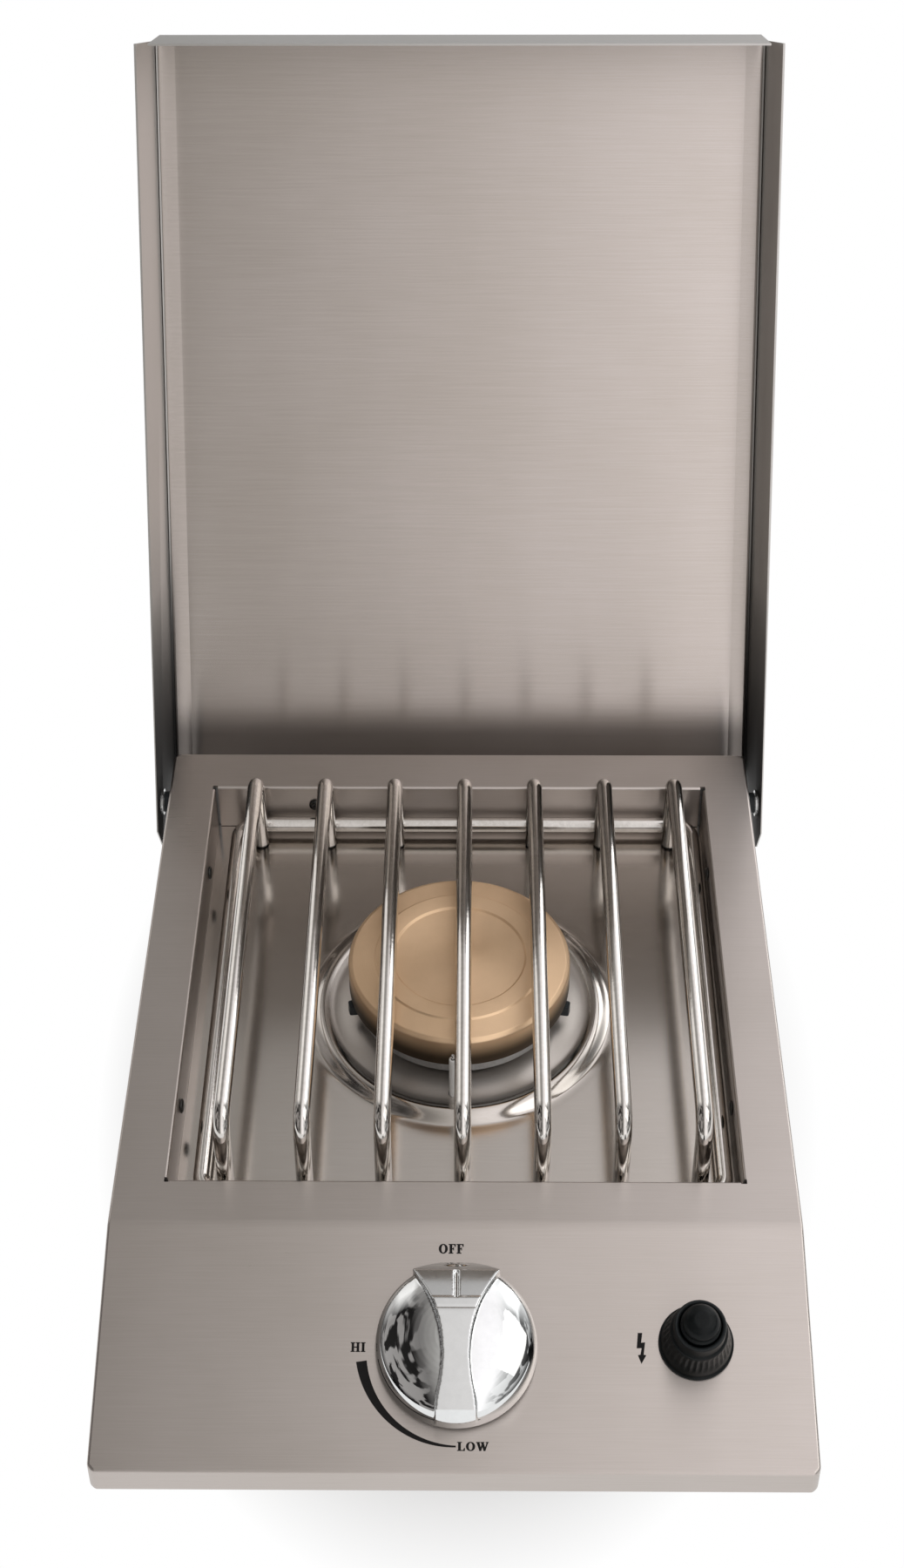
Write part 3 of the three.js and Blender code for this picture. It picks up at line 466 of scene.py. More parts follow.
def finish(name, dark, light, metallic, rough, spread, texture, patch=14.0, bump=0.05, wear_and_highlight=None,
           anisotropy=0.0, radial=False, coat=0.0, foot=None, shaded_matt=0.0, specular=0.5, warm=None):
    """A procedural finish. texture is an effect and its values, and patches vary the colour.
    foot has the values of a painted shade that darkens the piece towards its foot, and shaded_matt
    is how matt and unmetallic that painted shade is. warm is (radius, rough): heat leaves the piece
    that rough nearer its z axis than the radius."""
    material = bpy.data.materials.new(name)
    material.use_nodes = True
    tree = material.node_tree
    shader = tree.nodes["Principled BSDF"]
    place = node(tree, "TexCoord").outputs["Object"]
    lines = node(tree, "Group", in_Place=place, **texture)
    clouds = node(tree, "Group", node_tree=PATCHES, in_Place=place, in_Scale=patch)
    tone = maths(tree, "MULTIPLY_ADD", clouds, PATCH_SHARE,
                 maths(tree, "MULTIPLY", lines, 1 - PATCH_SHARE))
    gloss = maths(tree, "MULTIPLY_ADD", tone, spread, rough - spread / 2)
    base = blended(tree, tone, (*dark, 1), (*light, 1))
    looks = {"Specular IOR Level": specular}
    shader.inputs["Metallic"].default_value = metallic
    if wear_and_highlight:
        base = blended(tree, node(tree, "Group", node_tree=EDGE_WEAR_AND_HIGHLIGHT), base, (*wear_and_highlight, 1))
    # painted shade: the colour is blended towards black at the foot of the piece
    if foot:
        foot_shade_mask = node(tree, "Group", node_tree=PAINTED_FOOT_SHADE, in_Place=place, **foot)
        base = blended(tree, foot_shade_mask, SHADE_BLACK, base)
    # the painted shade is also made matt and unmetallic there
    if shaded_matt:
        gloss = maths(tree, "MAXIMUM", ranged(tree, foot_shade_mask, 0.0, 1.0, shaded_matt, 0.0), gloss)
        looks["Metallic"] = foot_shade_mask
    if warm:
        radius, matt = warm
        away = vector_maths(tree, "LENGTH", vector_maths(tree, "MULTIPLY", place, (1, 1, 0)))
        near = ranged(tree, away, radius - WARM_EDGE, radius + WARM_EDGE, matt, 0.0)
        gloss = maths(tree, "MAXIMUM", near, gloss)
    if bump:
        looks["Normal"] = node(tree, "Bump", in_Strength=bump, in_Distance=RELIEF_DEPTH,
                               in_Height=lines)
    if anisotropy:
        looks["Anisotropic"] = anisotropy
        if radial:
            looks["Anisotropic Rotation"] = 0.25
            looks["Tangent"] = node(tree, "Tangent", direction_type="RADIAL", axis="Z")
        else:
            looks["Tangent"] = node(tree, "Tangent", direction_type="UV_MAP", uv_map="grain")
    if coat:
        looks["Coat Weight"], looks["Coat Roughness"] = coat, COAT_ROUGHNESS
    looks["Base Color"], looks["Roughness"] = base, gloss
    for socket, value in looks.items():
        feed(tree, value, shader.inputs[socket])
    return material


def sheet_lines(fineness, stretch):
    return {"node_tree": BRUSHING, "in_Fineness": fineness, "in_Stretch": stretch}


def lathe_lines(fineness):
    return {"node_tree": TURNING, "in_Fineness": fineness}


def speckle(scale):
    return {"node_tree": PATCHES, "in_Scale": scale}


DECK_STEEL = finish("brushed deck steel", (0.50, 0.455, 0.42), (0.58, 0.53, 0.50), 1, 0.30, 0.06,
                    sheet_lines(2200, 70), 9, 0.03, anisotropy=0.85)
# painted shade: the inner faces of the flanges go near black, matt and unmetallic towards the hinge
LID_STEEL = finish("brushed lid steel", (0.465, 0.452, 0.432), (0.545, 0.53, 0.507), 1, 0.30, 0.06,
                   sheet_lines(2200, 70), 9, 0.01, anisotropy=0.75, shaded_matt=0.9,
                   foot=dict(in_Low=0.025, in_High=0.17, in_Share=0.05, in_Inside=0.1599,
                             in_Skin=0.0615))
# painted shade: the liner goes darker towards its foot by the deck
LINER_STEEL = finish("brushed liner steel", (0.51, 0.46, 0.42), (0.60, 0.545, 0.515), 1, 0.24, 0.04,
                     sheet_lines(2200, 90), 7, 0.004, anisotropy=1.0,
                     foot=dict(in_Low=0.02, in_High=0.042, in_Share=0.42))
TRAY_STEEL = finish("polished tray steel", (0.53, 0.49, 0.45), (0.59, 0.55, 0.515), 1, 0.15, 0.03,
                    sheet_lines(2600, 60), 12, 0.01, anisotropy=0.3, warm=(0.0645, 0.36))
GALVANISED = finish("galvanised sheet", (0.33, 0.34, 0.35), (0.52, 0.53, 0.54), 1, 0.46, 0.14,
                    speckle(160), 60, 0.05)
# painted shade: the lowest two millimetres of the bar legs go near black
WIRE = finish("plated grate wire", (0.62, 0.59, 0.555), (0.74, 0.71, 0.68), 1, 0.11, 0.05,
              speckle(420), 40, 0.02, foot=dict(in_Low=-0.0277, in_High=-0.0258, in_Share=0.04))
CHROME = finish("knob chrome", (0.74, 0.75, 0.75), (0.8, 0.81, 0.81), 1, 0.045, 0.02,
                speckle(300), 40, 0.0)
HARDWARE = finish("plated hardware", (0.42, 0.42, 0.42), (0.58, 0.58, 0.57), 1, 0.2, 0.08,
                  lathe_lines(2500), 120, 0.03)
CAST = finish("cast burner head", (0.36, 0.37, 0.38), (0.54, 0.55, 0.56), 1, 0.42, 0.16,
              speckle(700), 90, 0.3, wear_and_highlight=(0.62, 0.62, 0.61))
# painted shade: the side of the cap goes darker towards its lower edge
BRASS = finish("turned cap brass", (0.74, 0.52, 0.325), (0.9, 0.665, 0.445), 1, 0.5, 0.1,
               lathe_lines(5200), 30, 0.06, anisotropy=0.35, radial=True,
               foot=dict(in_Low=-0.006, in_High=0.0066, in_Share=0.1))
SCREW_STEEL = finish("blackened screws", (0.03, 0.03, 0.03), (0.09, 0.09, 0.085), 1, 0.3, 0.1,
                     lathe_lines(2500), 120, 0.03)
VALVE_BRASS = finish("machined valve brass", (0.5, 0.36, 0.16), (0.62, 0.47, 0.24), 1, 0.3, 0.12,
                     lathe_lines(2600), 80, 0.05)
# the lighter edges here are a painted highlight along rims and edges
BLACK = finish("semi matt black plastic", (0.0035, 0.0045, 0.0048), (0.008, 0.010, 0.0105), 0, 0.36,
               0.1, speckle(900), 120, 0.05, wear_and_highlight=(0.04, 0.045, 0.048), specular=0.15)
CERAMIC = finish("glazed electrode ceramic", (0.84, 0.83, 0.80), (0.9, 0.89, 0.87), 0, 0.22, 0.08,
                 speckle(500), 150, 0.02, coat=0.4)
PRINT = finish("printed marks", (0.008, 0.007, 0.007), (0.014, 0.013, 0.013), 0, 0.5, 0.1,
               speckle(1500), 200, 0.04, specular=0.15)


# ---------------------------------------------------------------- deck

NOTCH_BOW = 0.4
NOTCH_GAP = 0.15


def deck_height(y):
    """Height of the deck's top face, which slopes down along the panel."""
    return min(0.0, (y + DECK_DEPTH) * math.tan(PANEL_SLOPE))


def folded_deck():
    front = -(DECK_DEPTH + PANEL_LENGTH * math.cos(PANEL_SLOPE))
    bottom = deck_height(front) - LIP_HEIGHT
    w, o = DECK_HALF, OPENING_HALF
    sheet = Folded()
    arc = []
    for k in range(7):
        turn = k / 6 * math.pi / 2
        arc.append((w - CORNER_RADIUS + CORNER_RADIUS * math.cos(turn),
                    -CORNER_RADIUS + CORNER_RADIUS * math.sin(turn)))
    left_arc = [(-x, y) for x, y in reversed(arc)]
    reach = BEND_WIDTH + NOTCH_GAP

    def top(x, y):
        return (x, y, deck_height(y))

    def relief(side, y, end, half):
        """Points of the notch at an opening corner, clear of both bends. half 0 runs from the end
        of the front or back bend to the outer corner, and half 1 from there to the side bend."""
        middle = (o + reach - NOTCH_BOW, y + end * (reach - NOTCH_BOW))
        turns = [math.radians(t + 45 * half) for t in (0, 15, 30, 45)]
        bow = [(middle[0] + NOTCH_BOW * math.sin(t), middle[1] + end * NOTCH_BOW * math.cos(t))
               for t in turns]
        if half == 0:
            run = [(o - RELIEF_RADIUS, y), (o - RELIEF_RADIUS, y + end * reach), *bow]
        else:
            run = [*bow, (o + reach, y - end * RELIEF_RADIUS), (o, y - end * RELIEF_RADIUS)]
        return [top(side * px, py) for px, py in run]

    def skirt(line):
        for a, b in zip(line, line[1:]):
            sheet.face(top(*a), top(*b), (*b, bottom), (*a, bottom))

    back_split, front_split = OPENING_BACK, OPENING_FRONT
    slit = o - RELIEF_RADIUS
    sheet.face(
        *[top(*p) for p in left_arc], top(-w, back_split),
        *relief(-1, back_split, 1, 0)[::-1], *relief(1, back_split, 1, 0),
        top(w, back_split), *[top(*p) for p in arc],
    )
    for side in (-1, 1):
        sheet.face(
            top(side * w, back_split), *relief(side, back_split, 1, 1),
            *relief(side, front_split, -1, 1)[::-1], top(side * w, front_split),
        )
    sheet.face(
        top(-w, front_split), *relief(-1, front_split, -1, 0)[::-1],
        *relief(1, front_split, -1, 0), top(w, front_split), top(w, -DECK_DEPTH),
        top(-w, -DECK_DEPTH),
    )
    sheet.face(
        top(-w, -DECK_DEPTH), top(w, -DECK_DEPTH), top(w, front + CORNER_CUT),
        top(w - CORNER_CUT, front), top(-w + CORNER_CUT, front), top(-w, front + CORNER_CUT),
    )
    lip = [(-w, front + CORNER_CUT), (-w + CORNER_CUT, front), (w - CORNER_CUT, front),
           (w, front + CORNER_CUT)]
    skirt(lip)
    for side in (-1, 1):
        sheet.face(
            top(side * w, -CORNER_RADIUS), top(side * w, back_split), top(side * w, front_split),
            top(side * w, -DECK_DEPTH), top(side * w, front + CORNER_CUT),
            (side * w, front + CORNER_CUT, bottom), (side * w, -CORNER_RADIUS, bottom),
        )
    skirt(arc + left_arc)
    foot = [*arc, *left_arc, *lip]
    inner = w - REST_FLANGE
    for a, b in zip(foot, foot[1:] + foot[:1]):
        turned_in = [
            (max(-inner, min(inner, x)), max(front + REST_FLANGE, min(-REST_FLANGE, y)), bottom)
            for x, y in (b, a)
        ]
        sheet.face((*a, bottom), (*b, bottom), *turned_in)
    for y in (back_split, front_split):
        sheet.face((-slit, y, 0), (slit, y, 0), (slit, y, -WELL_DEPTH), (-slit, y, -WELL_DEPTH))
    back, fore = back_split - RELIEF_RADIUS, front_split + RELIEF_RADIUS
    for x in (-o, o):
        sheet.face((x, back, 0), (x, fore, 0), (x, fore, -WELL_DEPTH), (x, back, -WELL_DEPTH))
    return sheet


FOLD_TURN = math.radians(16.5)
SHARP_TURN = math.radians(30)


def bent(name, sheet, place, thickness, facing, width, broad):
    """A folded sheet with rounded bends and a thickness. facing says which way face 0 looks.
    Folds of less than SHARP_TURN are as wide as broad, and the others as wide as width."""
    obj = built(name, sheet.points, sheet.faces, place)
    mesh = obj.data
    if mesh.polygons[0].normal.dot(Vector(facing)) < 0:
        mesh.flip_normals()
    shape = bmesh.new()
    shape.from_mesh(mesh)
    weight = shape.edges.layers.float.new("bevel_weight_edge")
    for edge in shape.edges:
        if len(edge.link_faces) == 2:
            turn = edge.calc_face_angle(0)
            if turn > FOLD_TURN:
                edge[weight] = 1.0 if turn < SHARP_TURN else width / broad
    shape.to_mesh(mesh)
    shape.free()
    bevel = obj.modifiers.new("bends", "BEVEL")
    bevel.limit_method = "WEIGHT"
    bevel.width = broad * MM
    bevel.segments = 4
    bevel.use_clamp_overlap = False
    bevel.harden_normals = False
    thick = obj.modifiers.new("sheet", "SOLIDIFY")
    thick.thickness = thickness * MM
    thick.offset = -1
    thick.use_even_offset = True
    return settled(obj)


def make_deck():
    deck = bent("deck_and_panel", folded_deck(), DECK, SHEET, (0, 0, 1), BEND_WIDTH, BREAK_WIDTH)
    holes = ((KNOB_HOLE, KNOB_PLACE), (IGNITER_HOLE, IGNITER_PLACE))
    carved(deck, [drilled(radius, on_panel(*place), -6, 6) for radius, place in holes])
    dressed(deck, "base", DECK_STEEL, weighted=True)
    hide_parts("top_deck")


# ---------------------------------------------------------------- lid


def make_lid():
    """The hood, folded from one sheet with a slanted front flange, and the liner inside it."""
    w, free, skin = LID_HALF, LID_FREE, LID_SKIN
    strip, tip = w - 3.5, w - 6.8
    foot = [(free, -13), (5, -26)]
    shell = Folded()
    shell.face(
        (-w, skin, 0), (-w, skin, LID_SIDE_END), (-strip, skin, LID_SKIN_END),
        (strip, skin, LID_SKIN_END), (w, skin, LID_SIDE_END), (w, skin, 0),
    )
    shell.face(
        (-strip, skin, LID_SKIN_END), (-tip, free, LID_FRONT), (tip, free, LID_FRONT),
        (strip, skin, LID_SKIN_END),
    )
    for side in (-1, 1):
        x = side * w
        shell.face((x, skin, 0), (x, skin, LID_SIDE_END), (x, free, LID_FRONT),
                   *[(x, *p) for p in foot])
    lid = bent("lid_hood", shell, LID, LID_SHEET, (0, 1, 0), LID_BEND, LID_BROAD_BEND)
    dressed(lid, "lid", LID_STEEL, weighted=True)
    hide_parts("lid_shell")

    gap, thick, side_gap, end_gap, start = 0.3, 1, 1.3, 1.2, 9
    hem, margin, fold = 1.2, 9.0, 0.35
    back = skin - LID_SHEET - gap
    front = back - thick
    half = w - LID_SHEET - side_gap
    right = [
        (half - margin, front, 8), (half - hem, front - fold, 1), (half, front - fold, 0.45),
        (half, back, 0),
    ]
    outline = filleted([(-x, y, r) for x, y, r in reversed(right)] + right)
    liner = built("lid_liner_panel", *prism(outline, start, LID_SKIN_END - LID_SHEET - end_gap), LID)
    dressed(liner, "lid", LINER_STEEL, sharp=50, weighted=True)
    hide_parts("lid_liner")


# ---------------------------------------------------------------- well: tray, burner, grate


def make_tray():
    """The tray with its ring and the cone inside that. Its flat rest reaches the square edge in
    four faces above and four below."""
    top, thick, hole, sides = -28, 1, 38, 128
    low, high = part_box("drip_tray")
    centre = on_deck(BURNER_X, BURNER_Y)
    near, far = centre.inverted() @ low, centre.inverted() @ high
    x0, x1, y0, y1 = near.x / MM, far.x / MM, near.y / MM, far.y / MM
    profile = smooth_line([
        (hole, 2.4), (42, 4.2), (46, 5.1), (50, 4.9), (54, 4.0), (58, 2.9), (61, 2.35),
        (63, 2.5), (64.8, 3.0), (66.6, 3.3), (68.4, 3.0), (70.2, 2.2), (71.8, 1.25), (73.4, 0.4),
        (75, 0), (80, 0)], 3)
    points, faces, squares, holes = [], [], [], []
    for level in (0, -thick):
        rows = []
        for r, rise in profile:
            rows.append(range(len(points), len(points) + sides))
            points += [(r * math.cos(turn), r * math.sin(turn), top + rise + level)
                       for turn in round_turns(sides)]
        faces += walls(rows)
        square = range(len(points), len(points) + 4)
        points += [(x, y, top + level) for x, y in ((x1, y1), (x0, y1), (x0, y0), (x1, y0))]
        quarter = sides // 4
        for q in range(4):
            first = q * quarter + quarter // 2
            arc = [rows[-1][(first + k) % sides] for k in range(quarter + 1)]
            faces.append([*arc, square[(q + 1) % 4], square[q]])
        squares.append(square)
        holes.append(rows[0])
    faces += walls(squares) + walls(holes)
    tray = built("pressed_drip_tray", points, faces, centre)
    carved(tray, [drilled(ELECTRODE_HOLE, on_deck(*ELECTRODE_PLACE), -32, -18)])
    dressed(tray, "base", TRAY_STEEL, sharp=40, weighted=True)
    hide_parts("drip_tray")


def make_burner():
    centre = on_deck(BURNER_X, BURNER_Y)
    cap = filleted([
        (0, 8.0, 0), (31.6, 8.0, 0.5), (32.6, 8.9, 0.4), (40.4, 8.9, 0.4), (41.3, 8.2, 0.5),
        (51.6, 7.4, 1.6), (53.7, 5.9, 1.2), (53.7, -9.0, 0.3), (53.2, -9.4, 0.3),
        (46.4, -9.4, 0.4), (46.4, -12.0, 0.3), (43.6, -12.0, 0.3), (43.6, 2.1, 1), (0, 2.1, 0),
    ], 4, closed=False)
    obj = built("brass_cap", *turned(cap, 160), centre)
    dressed(obj, "cap", BRASS, sharp=40)
    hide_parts("burner_cap")

    ports, per = 24, 8

    def port(k, r, z):
        """A slot 3.2 mm deep in three of the eight sides that each port has."""
        slotted = z > -10 and r > 44 and (k + per // 2) % per in (3, 4, 5)
        return (r, z - 3.2) if slotted else (r, z)

    head = filleted([
        (13.2, -38, 0), (36, -38, 0.8), (36, -25, 3), (50.5, -17.5, 2), (50.5, -9.7, 0.6),
        (47, -9.7, 0.4), (47, -17.5, 2), (32.5, -25, 2), (16.7, -28.5, 1), (13.2, -28.5, 0.5),
    ], 4)
    obj = built("cast_head", *turned(head, ports * per, port), centre)
    dressed(obj, "base", CAST, sharp=40)
    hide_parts("burner_head")

    outline = filleted(
        [(50.8, -2.7, 0.4), (55.2, -2.2, 0.9), (55.2, 2.2, 0.9), (50.8, 2.7, 0.4)], 3)
    for word, degrees in (("left", 180 + 14), ("right", -14)):
        place = centre @ Matrix.Rotation(math.radians(degrees), 4, "Z")
        lug = built(f"lug_{word}", *prism(outline, -17.5, -11.9), place)
        dressed(lug, "base", BLACK)
        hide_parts(f"head_lug_{word}")

    low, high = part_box("electrode")
    bottom = (low.z - deck_high.z) / MM
    sleeve = filleted([
        (0.95, bottom, 0), (1.9, bottom, 0.3), (1.9, -38, 0.2), (3.4, -38, 0.5), (3.4, -32, 0.5),
        (1.9, -32, 0.2), (1.9, -0.6, 0.55), (0.95, -0.6, 0.2),
    ], 4)
    obj = built("ceramic_sleeve", *turned(sleeve, 40), on_deck(*ELECTRODE_PLACE))
    dressed(obj, "base", CERAMIC)
    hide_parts("electrode")


def make_grate():
    """A bent ring with its weld, and seven bars whose ends turn down inside it."""
    ring_radius, rod_radius = 4, 3.9
    shift, reach, ring_z, ring_bend = 3.2, 119.2, -20, 10
    back, front = -33.7, -275.5
    corners = [(shift + reach, front), (shift + reach, back), (shift - reach, back),
               (shift - reach, front)]
    line = filleted([(*corner, ring_z, ring_bend) for corner in corners], 10)
    ring = built("grate_frame", *swept(line, ring_radius, closed=True), DECK)
    bead = filleted([
        (0, -3.5, 0), (3.9, -3.5, 0.5), (4.35, -2.2, 1), (4.6, 0, 2), (4.35, 2.2, 1),
        (3.9, 3.5, 0.5), (0, 3.5, 0)], 3, closed=False)
    across = on_deck(shift, front, ring_z) @ Matrix.Rotation(math.pi / 2, 4, "Y")
    carved(ring, [built("weld", *turned(bead, 32), across)], "UNION")
    dressed(ring, "grate", WIRE, sharp=45)
    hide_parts("grate_ring")
    bars, pitch, bend, top, foot, rear, fore = 7, 36, 10.5, 20.0, -27.7, -40.0, -267.0
    for k in range(bars):
        x = shift + (k - bars // 2) * pitch
        path = filleted([(x, rear, foot, 0), (x, rear, top, bend), (x, fore, top, bend),
                         (x, fore, foot, 0)], 10, closed=False)
        bar = built(f"grate_rod_{k + 1}", *swept(path, rod_radius), DECK)
        dressed(bar, "grate", WIRE, sharp=45)
        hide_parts(f"grate_bar_{k + 1}")


def make_screws():
    """Cross head screws in the walls of the well, with their heads to the inside."""
    for k in range(1, 7):
        low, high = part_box(f"well_screw_{k}")
        middle = (low + high) / 2
        if high.x - low.x > high.y - low.y:
            outward = 1 if middle.x > 0 else -1
            turn = Matrix.Rotation(-outward * math.pi / 2, 4, "Y")
            head = Vector((low.x if outward > 0 else high.x, middle.y, middle.z))
        else:
            turn = Matrix.Rotation(math.pi / 2, 4, "X")
            head = Vector((middle.x, low.y, middle.z))
        place = Matrix.Translation(head) @ turn
        profile = filleted(
            [(0, 0, 0), (2.4, 0, 1.6), (3.4, -0.7, 0.3), (3.4, -1.3, 0.1), (1.85, -1.3, 0.1),
             (1.85, -8.2, 0.4), (0, -8.2, 0)], 4, closed=False)
        screw = built(f"pan_screw_{k}", *turned(profile, 40), place)
        cross = [
            built("slot", *prism([(-1.6, -0.3), (1.6, -0.3), (1.6, 0.3), (-1.6, 0.3)], -0.7, 1),
                  place @ Matrix.Rotation(angle, 4, "Z"))
            for angle in (0.4, 0.4 + math.pi / 2)
        ]
        carved(screw, cross)
        dressed(screw, "base", SCREW_STEEL)
        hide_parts(f"well_screw_{k}")


# ---------------------------------------------------------------- panel fittings


def make_knob():
    """A dome with a grip across it, which is a waisted outline cut to its side view and to the
    rim. A fine new skin and some smoothing then make every edge soft."""
    place = on_panel(*KNOB_PLACE, KNOB_LIFT)
    dome = smooth_line([(34.0, 6.2), (33.5, 8.1), (32.1, 10.4), (29.4, 12.6), (25.2, 14.6),
                        (18.0, 16.5), (9.0, 17.6), (0, 18.0)])
    profile = [(0, 3.2), (27, 3.2), (27, 0), (34.2, 0), (34.6, 0.6), *dome]
    knob = built("chrome_knob", *turned(profile, 160), place)
    waist = smooth_line([
        (8.7, -40), (8.6, -33.5), (8.1, -26.5), (6.8, -20), (5.9, -13.6), (5.75, -7.6),
        (6.35, -0.6), (7.8, 6), (10.2, 13.4), (13.5, 20), (17.7, 27), (22, 34.6), (25, 40)])
    outline = [(p.x, p.y) for p in waist] + [(-p.x, p.y) for p in reversed(waist)]
    grip = built("grip", *prism(outline, 0.7, 30), place)
    crown = smooth_line(
        [(-30.3, 14.3), (-24, 16.7), (-12, 21), (-2, 23.9), (6, 25.0), (8.8, 24.9)], 5)
    side = [(-34.6, 0.8), (-34.4, 8.4), *crown, (9.4, 24.1), (10.1, 24.6), (13.2, 24.1),
            (14.2, 23.5), (14.7, 22.1), (15.3, 21.9), (28.2, 15.0), (33.8, 7.6), (34.5, 0.8)]
    points, faces = prism(side, -40, 40)
    wedge = built("wedge", [(z, x, y) for x, y, z in points], faces, place)
    round_off = built("round", *turned([(0, 0.6), (34.5, 0.6), (34.3, 30), (0, 30)], 160), place)
    carved(grip, [wedge, round_off], "INTERSECT")
    carved(knob, [grip], "UNION")
    groove = built("groove", *prism(filleted(
        [(-1, -8, 0.95), (1, -8, 0.95), (1, 9, 0), (-1, 9, 0)], 4), -1.1, 8),
        place @ Matrix.Translation((0, 20.5 * MM, 19.4 * MM)) @ Matrix.Rotation(
            math.radians(-29), 4, "X"))
    carved(knob, [groove])
    fine = knob.modifiers.new("fine skin", "REMESH")
    fine.mode = "VOXEL"
    fine.voxel_size = 0.32 * MM
    even = knob.modifiers.new("polish", "SMOOTH")
    even.factor = 0.5
    even.iterations = 6
    settled(knob)
    dressed(knob, "knob_dial", CHROME, sharp=80)
    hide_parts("knob")


def make_igniter():
    place = on_panel(*IGNITER_PLACE)
    ribs, per, rib_depth = 34, 8, 0.5

    def rib(k, r, z):
        """Grooves between the ribs, on the cone alone."""
        if 8 < z < 16.6 and r > 11:
            wave = 0.5 - 0.5 * math.cos(2 * math.pi * k / per)
            return r - rib_depth * wave**0.7, z
        return r, z

    cone = [(15 - 2.6 * k / 8, 3.2 + 13.4 * k / 8) for k in range(9)]
    profile = [
        (0, -17), (11.7, -17), (11.7, 0.3), (15.6, 0.3), (16, 0.6), (16, 1.5), (15.6, 2.0),
        (15.1, 2.3), *cone, (12.2, 17.3), (11.7, 17.9), (11.3, 18.1), (11.1, 18.5), (11.0, 24.6),
        (10.8, 25.3), (10.4, 25.7), (9.8, 25.7), (9.3, 25.3), (8.9, 24.5), (8.9, -12), (0, -12),
    ]
    bezel = built("ribbed_bezel", *turned(profile, ribs * per, rib), place)
    dressed(bezel, "base", BLACK, sharp=40)
    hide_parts("igniter_bezel")

    foot, top = -4, 33.6
    crown = filleted([
        (0, foot, 0), (8.5, foot, 0.3), (8.5, 26.6, 0.5), (7.7, 27.4, 0.4), (7.7, 30.4, 2.2),
        (6.2, 32.4, 3), (3.6, 33.5, 4), (0, top, 0)], 6, closed=False)
    button = built("push_button", *turned(crown, 72), place)
    dressed(button, "igniter_push_button", BLACK, sharp=50)
    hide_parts("igniter_button")


# ---------------------------------------------------------------- printed marks

F_SHAPE = [(0, 0), (0.44, 0), (0.44, 0.1), (0.34, 0.1), (0.34, 0.44), (0.42, 0.44), (0.42, 0.33),
           (0.5, 0.33), (0.5, 0.67), (0.42, 0.67), (0.42, 0.56), (0.34, 0.56), (0.34, 0.9),
           (0.5, 0.9), (0.57, 0.7), (0.66, 0.7), (0.66, 1), (0, 1), (0, 0.9), (0.09, 0.9),
           (0.09, 0.1), (0, 0.1)]
I_SHAPE = [(0, 0), (0.43, 0), (0.43, 0.1), (0.34, 0.1), (0.34, 0.9), (0.43, 0.9), (0.43, 1),
           (0, 1), (0, 0.9), (0.09, 0.9), (0.09, 0.1), (0, 0.1)]
L_SHAPE = [(0, 0), (0.7, 0), (0.72, 0.33), (0.63, 0.33), (0.55, 0.11), (0.34, 0.11), (0.34, 0.9),
           (0.44, 0.9), (0.44, 1), (0, 1), (0, 0.9), (0.09, 0.9), (0.09, 0.1), (0, 0.1)]
H_SHAPE = [(0, 0), (0.42, 0), (0.42, 0.1), (0.33, 0.1), (0.33, 0.44), (0.57, 0.44), (0.57, 0.1),
           (0.48, 0.1), (0.48, 0), (0.9, 0), (0.9, 0.1), (0.81, 0.1), (0.81, 0.9),
           (0.9, 0.9), (0.9, 1), (0.48, 1), (0.48, 0.9), (0.57, 0.9), (0.57, 0.56),
           (0.33, 0.56), (0.33, 0.9), (0.42, 0.9), (0.42, 1), (0, 1), (0, 0.9), (0.09, 0.9),
           (0.09, 0.1), (0, 0.1)]
W_SHAPE = [(0, 1), (0, 0.9), (0.06, 0.9), (0.3, 0), (0.46, 0), (0.57, 0.42), (0.68, 0),
           (0.84, 0), (1.08, 0.9), (1.14, 0.9), (1.14, 1), (0.86, 1), (0.86, 0.9), (0.94, 0.9),
           (0.81, 0.42), (0.7, 0.9), (0.76, 0.9), (0.76, 1), (0.4, 1), (0.4, 0.9),
           (0.45, 0.9), (0.49, 0.75), (0.42, 0.42), (0.32, 0.9), (0.38, 0.9), (0.38, 1)]
PRINT_HEIGHT = 0.06
PRINT_LIFT = 0.01
LETTER_GAP = 0.07


def oval(width):
    """Outer and inner outlines of a bold letter O."""
    turns = round_turns(32)
    outer = [(width / 2 * (1 + math.cos(t)), 0.5 + 0.51 * math.sin(t)) for t in turns]
    inner = [(width / 2 + width * 0.2 * math.cos(t), 0.5 + 0.4 * math.sin(t)) for t in turns]
    return outer, inner


def word(name, letters, width, height, place):
    """Letters set side by side, each an outline or an (outer, inner) pair, fitted to a width."""
    points, faces, pen = [], [], 0.0
    for letter in letters:
        some, around = band(*letter, 0, 1) if isinstance(letter, tuple) else prism(letter, 0, 1)
        faces += [[i + len(points) for i in face] for face in around]
        points += [(x + pen, y, z) for x, y, z in some]
        pen += max(p[0] for p in some) + LETTER_GAP
    total = pen - LETTER_GAP
    points = [
        (x / total * width - width / 2, (y - 0.5) * height, PRINT_LIFT + z * PRINT_HEIGHT)
        for x, y, z in points
    ]
    mark = built(name, points, faces, place)
    dressed(mark, "base", PRINT, sharp=20)


